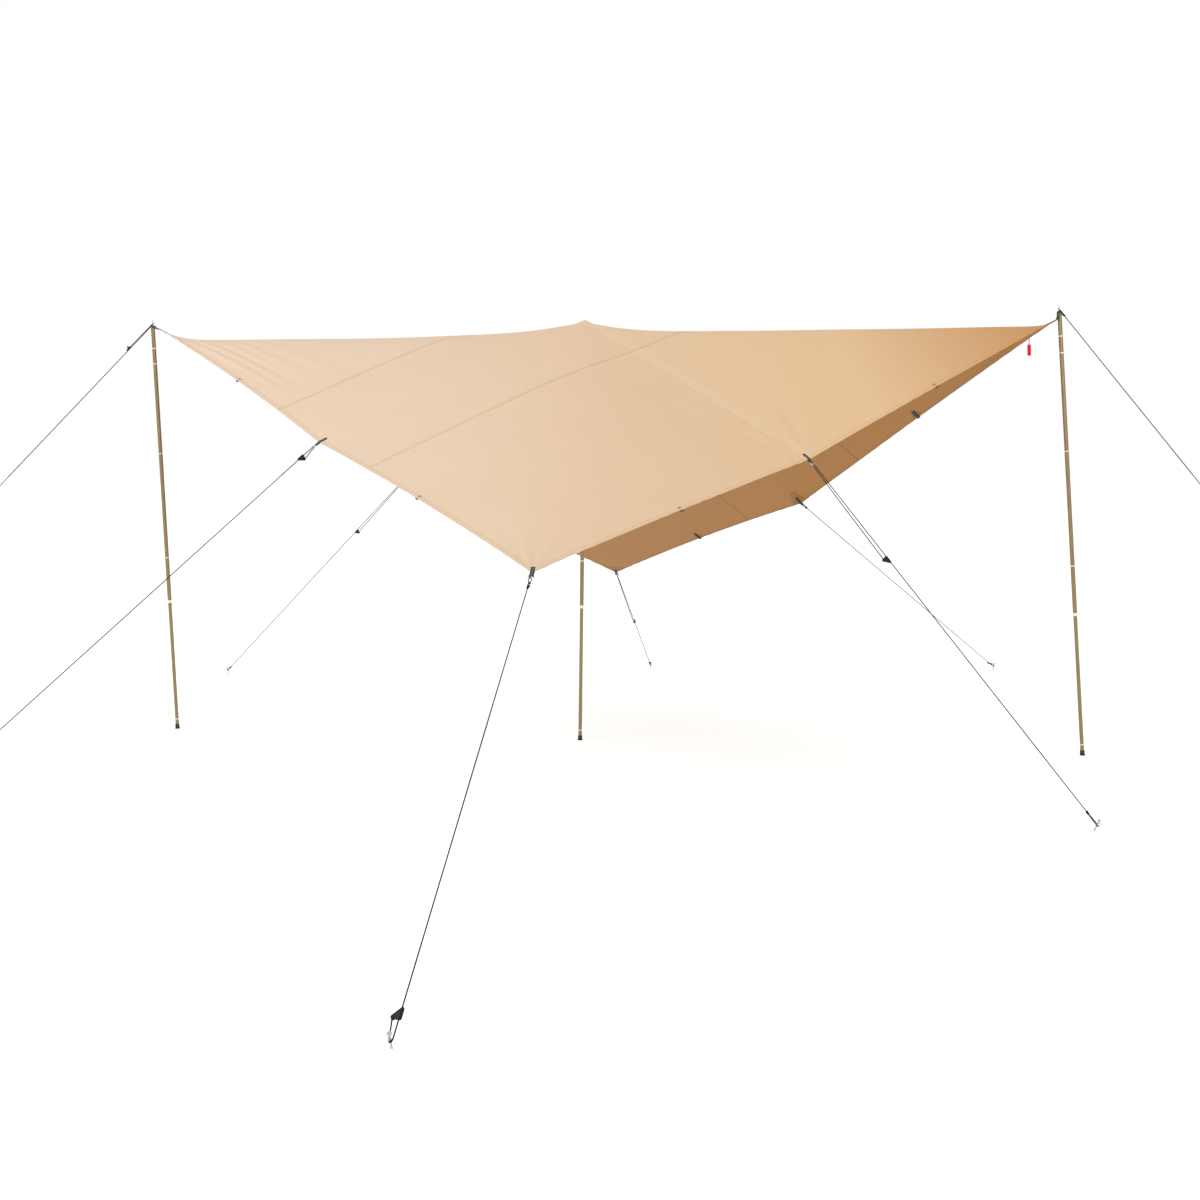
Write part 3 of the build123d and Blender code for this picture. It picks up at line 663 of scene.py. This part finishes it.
# ---- the cloth
CLOTH_HALF = 0.0005  # half the canvas's thickness
CELL = 0.020  # spacing of the fine mesh on the flat cloth
FINE_REACH = 0.36  # how far from the tie points' lines the mesh is twice as fine
NET = 96  # cells across the coarse net that takes the pull
EASE = 48  # steps that round the folds between the tie points
PULL = ((0.0, 0.9), (0.3, 1.05), (0.5, 0.5), (0.7, 0.42), (1.0, 0.12))  # strength at places along the ridge
PULL_ASIDE = 1.1  # strength off the ridge
RIDGE_HALF = 0.30  # where it has that strength, as a share of the side
PEAK_REACH = 0.32  # how far from the peak the pull is weaker
PEAK_HELD = 0.05  # how far from the peak nothing is pulled
STEP = 0.002  # width of the step at the edge of a hem or seam
# How far the edge is drawn in, from each tie point to the next.
EDGE_BOW = dict(zip(ORDER, (0.026, 0.024, 0.016, 0.008, 0.010, 0.026, 0.020, 0.022)))
# Depth of the creases out of each tie point, and how far out they are deepest.
CREASES = dict(zip(ORDER, ((0.0036, 0.42), (0.0014, 0.18), (0.0042, 0.11), (0.0030, 0.24),
                           (0.0044, 0.40), (0.0028, 0.24), (0.0040, 0.24), (0.0026, 0.22))))
# The long folds beside the left corner: offset from the edge, lean, half width, height, from, to.
LONG_FOLDS = (
    (0.020, 0.115, 0.015, 0.0095, 0.10, 1.60),
    (0.072, 0.125, 0.017, 0.0110, 0.14, 1.50),
    (0.125, 0.140, 0.021, 0.0078, 0.22, 1.30),
    (0.185, 0.150, 0.025, 0.0064, 0.30, 1.60),
    (0.250, 0.220, 0.034, 0.0040, 0.45, 1.70),
)
# Soft unevenness: height, then two sines' radians to the metre and starts.
WAVES = (
    (0.0022, (2.3, 1.1, 0.7), (-0.8, 1.9, 2.0)),
    (0.0009, (6.1, -3.7, 1.9), (2.9, 5.2, 0.0)),
)
CORNER_FAN, EDGE_FAN = 0.62, 0.95  # half angle of a corner's and an edge's creases
CREASE_START = 0.12  # where its creases have risen, from a tie point
FINE_START = 0.16  # where finer ones begin
SEAM_PUCKER = (0.0008, 0.035, 74, 0.6, 9.1)  # height, reach, radians to the metre, unevenness and its radians
HEM_PUCKER = (0.0009, 0.045, 61, 0.7, 7.3)
STITCH_RELIEF = 0.0007
BAND_HALF = 0.040
BAND_INSET = 0.004
BAND_THICKNESS = 0.0005
PEAK_PATCH = 0.300
PATCH_THICKNESS = 0.0008
PATCH_DEPTH = 0.095
PATCH_ROOT, PATCH_END = 0.058, 0.020  # half widths of an edge's patch, at the edge and inside
PATCH_GAP = 0.0003


def faceted(p, q):
    """The flat cloth's places on facets between the peak and the tie points, with bowed edges."""
    points = np.zeros(p.shape + (3,))
    centre = np.array(PEAK)
    for here, there in zip(ORDER, ORDER[1:] + ORDER[:1]):
        (pa, qa), (pb, qb) = CLOTH_PLACES[here], CLOTH_PLACES[there]
        area = (pa - 0.5) * (qb - 0.5) - (pb - 0.5) * (qa - 0.5)
        one = ((p - 0.5) * (qb - 0.5) - (pb - 0.5) * (q - 0.5)) / area
        two = ((pa - 0.5) * (q - 0.5) - (p - 0.5) * (qa - 0.5)) / area
        inside = (one >= -1e-9) & (two >= -1e-9)
        a, b = (np.array(TIE_POINTS[name]) + (0, 0, 0.001) for name in (here, there))
        inward = centre - (a + b) / 2
        inward /= np.linalg.norm(inward)
        bow = EDGE_BOW[here] * 4 * one * two * (one + two)
        place = centre + one[..., None] * (a - centre) + two[..., None] * (b - centre) + bow[..., None] * inward
        points[inside] = place[inside]
    return points


def drawn_tight(net, p, q):
    """Rounds the net's folds as tension does: most away from the peak and on the slack left half."""
    ridge = np.interp((p + q) / 2, *zip(*PULL))
    pull = ridge + (PULL_ASIDE - ridge) * np.clip(np.abs(p - q) / RIDGE_HALF, 0, 1)
    off_peak = np.hypot(p - 0.5, q - 0.5) * SIDE
    pull *= 1 - 0.9 * np.exp(-((off_peak / PEAK_REACH) ** 2))
    for _ in range(EASE):
        change = net[2:, 1:-1] + net[:-2, 1:-1] + net[1:-1, 2:] + net[1:-1, :-2] - 4 * net[1:-1, 1:-1]
        change[off_peak[1:-1, 1:-1] < PEAK_HELD] = 0
        net[1:-1, 1:-1] += 0.2 * pull[1:-1, 1:-1, None] * change
    return net


def between(count, places):
    """Weights that carry values on an even net to places between its lines, on a smooth cubic."""
    weights = np.zeros((len(places), count + 1))
    for row, place in enumerate(np.asarray(places) * count):
        cell = min(int(place), count - 1)
        f = place - cell
        cubic = (-f / 2 + f * f - f**3 / 2, 1 - 2.5 * f * f + 1.5 * f**3,
                 f / 2 + 2 * f * f - 1.5 * f**3, -f * f / 2 + f**3 / 2)
        for k, weight in enumerate(cubic):
            weights[row, min(max(cell - 1 + k, 0), count)] += weight
    return weights


def creased(p, q):
    """Height of the creases and soft unevenness, for places on the flat cloth in metres."""
    rise = sum(height * np.sin(a * p + b * q + c) * np.sin(d * p + e * q + f)
               for height, (a, b, c), (d, e, f) in WAVES)
    for number, (name, (depth, reach)) in enumerate(CREASES.items()):
        a, b = CLOTH_PLACES[name]
        x, y = p - a * SIDE, q - b * SIDE
        far = np.hypot(x, y) + 1e-9
        swing = np.angle(np.exp(1j * (np.arctan2(y, x) - math.atan2(0.5 - b, 0.5 - a))))
        fan = np.exp(-((swing / (EDGE_FAN if 0.5 in (a, b) else CORNER_FAN)) ** 4))
        finer = np.clip((far - FINE_START) / FINE_START, 0, 1)
        folds = np.cos(13 * swing + 1.3 * number) + 0.5 * finer * np.cos(23 * swing + 2.1 * number + far * 3)
        fall = far / reach * np.exp(1 - far / reach) * np.clip(far / CREASE_START, 0, 1)
        rise += depth * folds * fall * fan / 1.5
    for offset, lean, half, height, start, end in LONG_FOLDS:
        middle = offset + lean * p * (1 - 0.15 * p)
        share = np.clip((p - start) / (end - start), 0, 1)
        swell = np.sin(math.pi * share) ** 1.5 * np.exp(-1.2 * share) * 1.6
        off = (q - middle) / (half * (1 + 0.5 * p))
        rise += height * swell * (np.exp(-off * off) - 0.6 * np.exp(-((off - 1.7) ** 2)))
    return rise


def puckered(off, along, height, reach, turns, uneven, slow_turns):
    """Height of the gathers beside a row of stitches, at distances off it and along it."""
    waves = np.sin(along * turns) * (1 + uneven * np.sin(along * slow_turns))
    return height * np.exp(-((off / reach) ** 2)) * waves


def sewn(p, q):
    """How much thicker the cloth is at its hems and seams, from 0 to 1, and the pucker beside them."""
    edge = np.minimum.reduce([p, SIDE - p, q, SIDE - q])
    seam = np.minimum.reduce([np.abs(p - place * SIDE) for place in SEAMS])
    thick = np.maximum(edge < HEM - STEP / 2, seam < SEAM_HALF + STEP / 4).astype(float)
    walk = np.where(np.minimum(p, SIDE - p) < np.minimum(q, SIDE - q), q, p)
    return thick, puckered(seam, q, *SEAM_PUCKER) + puckered(edge, walk, *HEM_PUCKER)


def cloth_lines(extra):
    """Places of the fine mesh's lines in metres: even ones, and one at each edge of a hem or seam."""
    half = CELL / 2
    even = [place for i, place in enumerate(np.arange(0, SIDE + half / 2, half))
            if i % 2 == 0 or min(abs(place - held) for held in (0, SIDE / 2, SIDE)) < FINE_REACH]
    clear = [place for place in even if min(abs(place - other) for other in extra) > CELL / 8]
    return np.array(sorted(clear + extra))


class Cloth:
    """The pitched cloth's upper and lower faces, and any place on them."""

    def __init__(self):
        hem = [0.0, HEM - STEP, HEM, SIDE - HEM, SIDE - HEM + STEP, SIDE]
        seams = [place * SIDE + side * off for place in SEAMS for side in (-1, 1)
                 for off in (SEAM_HALF, SEAM_HALF + STEP)]
        self.p, self.q = cloth_lines(hem + seams), cloth_lines(hem)
        even = np.linspace(0, 1, NET + 1)
        p, q = np.meshgrid(even, even, indexing="ij")
        net = drawn_tight(faceted(p, q), p, q)
        rows, columns = between(NET, self.p / SIDE), between(NET, self.q / SIDE)
        middle = np.einsum("ai,ijk,bj->abk", rows, net, columns)
        self.normal = self.normals(middle)
        p, q = np.meshgrid(self.p, self.q, indexing="ij")
        thick, pucker = sewn(p, q)
        free = np.clip(np.hypot(p - SIDE / 2, q - SIDE / 2) / 0.2, 0, 1)  # none at the peak, on its pole
        middle += self.normal * ((creased(p, q) + pucker) * free)[..., None]
        self.normal = self.normals(middle)
        self.top = middle + self.normal * (CLOTH_HALF + thick * STITCH_RELIEF)[..., None]
        self.bottom = middle - self.normal * (CLOTH_HALF + thick * STITCH_RELIEF / 2)[..., None]

    def normals(self, points):
        down = np.gradient(points, self.p, axis=0)
        across = np.gradient(points, self.q, axis=1)
        normal = np.cross(down, across)
        normal /= np.linalg.norm(normal, axis=2)[..., None]
        return normal * np.sign(normal[len(self.p) // 2, len(self.q) // 2, 2])

    def at(self, p, q, lift):
        """Places on the flat cloth, lifted above its upper face or, if negative, below its lower one."""
        p, q = np.clip(np.asarray(p, float), 0, SIDE), np.clip(np.asarray(q, float), 0, SIDE)
        i = np.clip(np.searchsorted(self.p, p, side="right") - 1, 0, len(self.p) - 2)
        j = np.clip(np.searchsorted(self.q, q, side="right") - 1, 0, len(self.q) - 2)
        s = ((p - self.p[i]) / (self.p[i + 1] - self.p[i]))[..., None]
        t = ((q - self.q[j]) / (self.q[j + 1] - self.q[j]))[..., None]

        def mixed(grid):
            low = grid[i, j] * (1 - s) + grid[i + 1, j] * s
            return low * (1 - t) + (grid[i, j + 1] * (1 - s) + grid[i + 1, j + 1] * s) * t

        face = self.top if lift >= 0 else self.bottom
        return mixed(face) + mixed(self.normal) * lift

    def line(self, spots, lift):
        return [Vector(self.at(spot.x, spot.y, lift)) for spot in spots]


def slab(shape, upper, lower, uvs, numbers=(0, 0)):
    """A closed sheet between two grids of points, with its own material number above and below."""
    rows, columns = upper.shape[:2]
    count = rows * columns
    index = np.arange(count).reshape(rows, columns)
    a, b, c, d = index[:-1, :-1], index[1:, :-1], index[1:, 1:], index[:-1, 1:]
    quads = np.stack([a, b, c, d], axis=-1).reshape(-1, 4)
    first = np.cross(upper[1, 0] - upper[0, 0], upper[0, 1] - upper[0, 0])
    if first @ (upper[0, 0] - lower[0, 0]) < 0:
        quads = quads[:, ::-1]
    ring = np.concatenate([index[0, :-1], index[:-1, -1], index[-1, :0:-1], index[:0:-1, 0]])
    after = np.roll(ring, -1)
    rim = np.stack([ring, after, after + count, ring + count], axis=-1)
    if (quads[0] == [a[0, 0], b[0, 0], c[0, 0], d[0, 0]]).all():
        rim = rim[:, ::-1]
    both = [*upper.reshape(-1, 3).tolist(), *lower.reshape(-1, 3).tolist()]
    faces = [*quads.tolist(), *(quads[:, ::-1] + count).tolist(), *rim.tolist()]
    above, below = numbers
    shape.add(both, faces, uvs.reshape(-1, 2).tolist() * 2,
              [above] * len(quads) + [below] * len(quads) + [above] * len(rim))


def make_cloth(cloth):
    shape = Shape()
    p, q = np.meshgrid(cloth.p, cloth.q, indexing="ij")
    slab(shape, cloth.top, cloth.bottom, np.stack([p, q], axis=-1), (0, 1))
    tarp = shape.build("tarp_cloth", "canvas", "underside")
    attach(tarp, TARP_BODY)
    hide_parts("tarp_rear_panel", "tarp_middle_panel", "tarp_front_panel")
    return tarp


def cloth_slab(shape, cloth, p, q, side, thickness):
    """A sewn-on layer over places of the cloth, above it (side 1) or below it (side -1)."""
    near_face = cloth.at(p, q, side * PATCH_GAP)
    far_face = cloth.at(p, q, side * (PATCH_GAP + thickness))
    slab(shape, far_face, near_face, np.stack([p, q], axis=-1))


def make_band(cloth):
    shape = Shape()
    along = cloth.p[(cloth.p > BAND_INSET) & (cloth.p < SIDE - BAND_INSET)]
    across = np.linspace(SIDE / 2 - BAND_HALF, SIDE / 2 + BAND_HALF, 9)
    p, q = np.meshgrid(np.concatenate([[BAND_INSET], along, [SIDE - BAND_INSET]]), across, indexing="ij")
    cloth_slab(shape, cloth, p, q, 1, BAND_THICKNESS)
    band = shape.build("centre_band", "reinforcement")
    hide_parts("tarp_centre_band")
    return band


def turned(step):
    """A direction on the flat cloth, turned a quarter."""
    return Vector((-step.y, step.x))


def tongue(place, step, depth, root, end, rows, columns):
    """Places of a tapered patch on the flat cloth, from half width root at the edge to end inside."""
    far, side = np.meshgrid(np.linspace(0.002, depth, rows), np.linspace(-1, 1, columns), indexing="ij")
    wide = side * (root - (root - end) * far / depth)
    spots = np.array(place) + far[..., None] * np.array(step) + wide[..., None] * np.array(turned(step))
    return spots[..., 0], spots[..., 1]


def make_patches(cloth):
    shape = Shape()
    for name in ORDER:
        place, step = inward_step(name)
        halves = (PATCH_ROOT, PATCH_END) if 0.5 in CLOTH_PLACES[name] else (-0.001, PATCH_DEPTH - 0.001)
        cloth_slab(shape, cloth, *tongue(place, step, PATCH_DEPTH, *halves, 14, 13), -1, PATCH_THICKNESS)
    patches = shape.build("tie_point_patches_sewn", "patch")
    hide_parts("tie_point_patches")
    shape = Shape()
    around = np.linspace(SIDE / 2 - PEAK_PATCH / 2, SIDE / 2 + PEAK_PATCH / 2, 31)
    cloth_slab(shape, cloth, *np.meshgrid(around, around, indexing="ij"), -1, PATCH_THICKNESS)
    peak = shape.build("peak_patch_sewn", "patch")
    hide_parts("peak_patch")
    return [patches, peak]


# ---- webbing, loops and tag
WEB_WIDTH = 0.020
WEB_THICKNESS = 0.0014
STRAP_TAIL = 0.050
EYE_REACH = 0.0145  # from the start of a strap's eye to its fold
EYE_HALF = 0.0040
STRAP_LIFT = WEB_THICKNESS / 2 + 0.0003  # a sewn strap's middle, off the face under it
STRAP_TACKS = (STRAP_TAIL - 0.005, 0.012)
TACK_STEPS = 24
TACK_HALF = 0.0011  # half the depth of its zigzag
TACK_THREAD = 0.0007
SPIKE_STRAP_WIDTH = 0.015
SPIKE_STRAP_RISE = 0.0085  # its middle, above the pole's shoulder
THROAT = 0.010  # from the spike to where the strap closes
LOOP_OUT = 0.004
LOOP_IN = 0.060
LOOP_TACKS = (0.018, 0.026)
LOOP_PATCH = (0.070, 0.040, 0.006)  # depth, and half widths at the edge and inside


def inward_step(name):
    """A tie point's place on the flat cloth, and the direction from it to the middle."""
    place = Vector(CLOTH_PLACES[name])
    return place * SIDE, (Vector((0.5, 0.5)) - place).normalized()


def bar_tack(shape, cloth, place, step, lift, length):
    """A tight zigzag of thread sewn through the webbing or cloth, across step."""
    across = turned(step)
    spots = [place + across * (i / TACK_STEPS - 0.5) * length + step * (TACK_HALF if i % 2 else -TACK_HALF)
             for i in range(TACK_STEPS + 1)]
    tube(shape, cloth.line(spots, lift), TACK_THREAD, 6)


def strap_across(name, across):
    """The edge's direction at a tie point, on the same side as across."""
    edge = edge_direction(name)
    return edge if edge.dot(across) > 0 else -edge


def strap_ends(cloth, name):
    """A strap's two sewn ends, above and below the cloth, each from its tail to the edge."""
    place, step = inward_step(name)
    spots = [place + step * far for far in (STRAP_TAIL, STRAP_TAIL * 0.6, STRAP_TAIL * 0.25, 0.002)]
    under = -(PATCH_GAP + PATCH_THICKNESS + STRAP_LIFT)
    return cloth.line(spots, STRAP_LIFT), cloth.line(spots, under)


def sewn_strap(cloth, name, path, ways, width, tack):
    """A strap along a path, tacked through the cloth."""
    shape = Shape()
    webbing(shape, path, ways, width)
    place, step = inward_step(name)
    for far in STRAP_TACKS:
        bar_tack(shape, cloth, place + step * far, step, STRAP_LIFT * 2 + 0.0002, tack)
    return shape.build(f"strap_{name}", "webbing")


def make_hanging_strap(cloth, name):
    """A strap folded over the cloth's edge, with its eye round the ring."""
    along, across, square = line_frame(name)
    start, corner = eye_start(name), Vector(TIE_POINTS[name])
    upper, lower = strap_ends(cloth, name)
    eye = [(start + along * (EYE_REACH * far), EYE_HALF * wide) for far, wide in ((0, 0.6), (0.5, 1), (1, 1))]
    path = smooth_line(upper + both_sides(eye, square) + lower[::-1])
    flat = strap_across(name, across)
    turns = [min(1.0, max(0.0, (point - corner).dot(along) / STRAP_REACH)) for point in path]
    ways = [flat.lerp(across, turn) for turn in turns]
    return sewn_strap(cloth, name, path, ways, WEB_WIDTH, WEB_WIDTH * 0.8)


def make_spike_strap(cloth, name):
    """A strap that turns on its edge and goes round the pole's spike."""
    axis, corner = pole_axis(name), Vector(TIE_POINTS[name])
    away = on_spike(name, 0.0) - corner
    away = unit(away - axis * away.dot(axis))
    across = axis.cross(away)
    reach = SPIKE_ROOT + WEB_THICKNESS
    centre = on_spike(name, 0.0) + axis * SPIKE_STRAP_RISE
    gap = (centre - corner).dot(away)
    neck = corner + away * (gap * 0.35) + axis * SPIKE_STRAP_RISE * 0.5
    loop = [(neck, 0.002), (centre - away * THROAT, reach), (centre, reach * 1.15),
            (centre + away * reach * 1.5, reach * 1.1)]
    upper, lower = strap_ends(cloth, name)
    path = smooth_line(upper + both_sides(loop, across) + lower[::-1])
    flat = strap_across(name, across)
    ways = []
    for i, point in enumerate(path):
        turn = min(1.0, max(0.0, (point - corner).dot(away) / (gap - THROAT))) * math.pi / 2
        upright = axis if i <= len(path) // 2 else -axis
        ways.append(flat * math.cos(turn) - upright * math.sin(turn))
    return sewn_strap(cloth, name, path, ways, SPIKE_STRAP_WIDTH, 0.012)


def make_spare_loops(cloth):
    """Loops of webbing under the quarter points of the edges, each with a patch and tacks through the cloth."""
    loops, patches = Shape(), Shape()
    lift = -(PATCH_GAP + PATCH_THICKNESS + WEB_THICKNESS / 2 + 0.0002)
    for here, there in zip(ORDER, ORDER[1:] + ORDER[:1]):
        start, end = Vector(CLOTH_PLACES[here]), Vector(CLOTH_PLACES[there])
        place = (start + end) / 2 * SIDE
        step = turned((end - start).normalized())
        step = step if step.dot(Vector((SIDE / 2, SIDE / 2)) - place) > 0 else -step
        spots = [place + step * far for far in (LOOP_IN, LOOP_IN * 0.5, 0.001)]
        first, second = cloth.line(spots, lift), cloth.line(spots, lift - WEB_THICKNESS - 0.0004)
        out, down = unit(first[2] - first[0]), unit(second[2] - first[2])
        tip = [first[2] + out * LOOP_OUT - down * 0.0012, first[2] + out * (LOOP_OUT + 0.003) + down * 0.001,
               second[2] + out * LOOP_OUT + down * 0.0012]
        path = smooth_line(first + tip + second[::-1])
        webbing(loops, path, [unit(out.cross(down))] * len(path), WEB_WIDTH)
        for far in LOOP_TACKS:
            bar_tack(loops, cloth, place + step * far, step, 0.0006, WEB_WIDTH)
        cloth_slab(patches, cloth, *tongue(place, step, *LOOP_PATCH, 10, 9), -1, PATCH_THICKNESS)
    loops = loops.build("spare_loops_webbing", "webbing")
    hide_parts("spare_loops")
    return [loops, patches.build("spare_loop_patches", "patch")]


TAG_SHARE = 0.885
TAG_HANG = 0.003
TAG_DROP = 0.051
TAG_WIDE, TAG_TALL, TAG_THICK = 0.027, 0.066, 0.0011
TAG_CORNER = 0.007  # how far its two upper corners are cut off
TAG_BORDER = 0.0025  # width of the thicker stitched border
TAG_CURL, TAG_CUP = 0.0016, 0.0010
TAG_ROWS, TAG_COLUMNS = 34, 14
TAG_CORD = 0.0011  # radius


def make_tag():
    """A folded red tag with a stitched edge, hung by a loop of red cord."""
    start, end = Vector(TIE_POINTS["front_right"]), Vector(TIE_POINTS["right"])
    hang = start + (end - start) * TAG_SHARE - UP * TAG_HANG
    edge = unit(Vector((end.x - start.x, end.y - start.y, 0)))
    normal = edge.cross(UP)
    down, side = np.meshgrid(np.linspace(0, TAG_TALL, TAG_ROWS), np.linspace(-1, 1, TAG_COLUMNS), indexing="ij")
    half = np.clip(TAG_WIDE / 2 - TAG_CORNER + down, 0, TAG_WIDE / 2)
    wide = side * half
    bend = TAG_CURL * np.sin(down / TAG_TALL * 2.6) - TAG_CUP * (wide / TAG_WIDE * 2) ** 2
    border = np.minimum.reduce([half - np.abs(wide), down, TAG_TALL - down])
    thick = TAG_THICK / 2 * np.where(border < TAG_BORDER, 1.25, 1.0)
    face = (np.array(hang - UP * TAG_DROP) + wide[..., None] * np.array(edge)
            - down[..., None] * np.array(UP) + bend[..., None] * np.array(normal))
    offset = thick[..., None] * np.array(normal)
    shape = Shape()
    slab(shape, face + offset, face - offset, np.stack([down, wide], axis=-1))
    for side in (-1, 1):
        ends = [hang + edge * side * 0.0006, hang - UP * (TAG_DROP * 0.5) + edge * side * 0.0026,
                hang - UP * (TAG_DROP + 0.005) + normal * side * 0.0016]
        tube(shape, smooth_line(ends), TAG_CORD, 8)
    tube(shape, [hang - edge * 0.0015, hang, hang + edge * 0.0015], 0.0014, 8)
    tag = shape.build("care_tag_red", "tag")
    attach(tag, "care_tag")
    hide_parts("care_tag")


def make_tarp():
    """The whole cloth with what is sewn on it."""
    cloth = Cloth()
    tarp = make_cloth(cloth)
    sewn_on = [make_band(cloth), *make_patches(cloth), *make_spare_loops(cloth)]
    for piece, slot in zip(sewn_on, ("canvas_reinforcement",) * 3 + ("webbing", "canvas_reinforcement")):
        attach(piece, TARP_BODY)
    for name in ORDER:
        strap = make_spike_strap(cloth, name) if name in POLE_HEADS else make_hanging_strap(cloth, name)
        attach(strap, TARP_BODY)
        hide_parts(f"{name}_spike_strap" if name in POLE_HEADS else "hanging_straps")


# ---- camera, floor and light
WHITE = (1.0, 1.0, 1.0, 1.0)
FLOOR_REACH = 1500.0  # far enough that its edge is at the horizon
LIGHT_SIZE = 4.0


def make_camera():
    data = bpy.data.cameras.new("camera")
    data.lens = LENS
    data.shift_y = FRAME_LIFT
    camera = put("camera", data)
    camera.location = EYE
    camera.rotation_euler = (math.radians(90), 0, math.radians(HEADING))
    bpy.context.scene.camera = camera


def make_floor():
    shape = Shape()
    corners = ((-1, -1), (1, -1), (1, 1), (-1, 1))
    shape.add([(x * FLOOR_REACH, y * FLOOR_REACH, 0) for x, y in corners], [(0, 1, 2, 3)], corners)
    paint = Paint("studio_floor", (0.58, 0.58, 0.58), 0.9, Emission_Color=WHITE, Emission_Strength=0.54)
    rough = paint.ramp(paint.noise(3.0, 2.0), To_Min=0.85, To_Max=0.95)
    paint.feed(paint.shader.inputs["Roughness"], rough)
    MATERIALS["floor"] = paint.material
    shape.build("studio_floor", "floor")


def make_light(name, place, target, power, colour):
    data = bpy.data.lights.new(name, "AREA")
    data.shape = "DISK"
    data.size = LIGHT_SIZE
    data.energy = power
    data.color = colour
    lamp = put(name, data)
    lamp.location = place
    lamp.rotation_euler = (Vector(target) - Vector(place)).to_track_quat("-Z", "Y").to_euler()


def make_studio():
    world = bpy.data.worlds.new("studio")
    world.use_nodes = True
    background = world.node_tree.nodes["Background"]
    background.inputs["Color"].default_value = WHITE
    background.inputs["Strength"].default_value = 1.0
    bpy.context.scene.world = world
    bpy.context.scene.view_settings.view_transform = "Standard"
    make_light("key", (-6.0, -6.5, 6.5), (-0.6, -1.0, 1.8), 430.0, (0.88, 1.0, 1.20))
    make_light("fill", (5.0, -7.0, 4.0), (0.8, -0.5, 1.8), 90.0, (1.0, 0.84, 0.60))


make_camera()
make_studio()
make_floor()
finish_cad_parts()
make_tarp()
make_tag()
for line_name in ORDER:
    make_line(line_name)
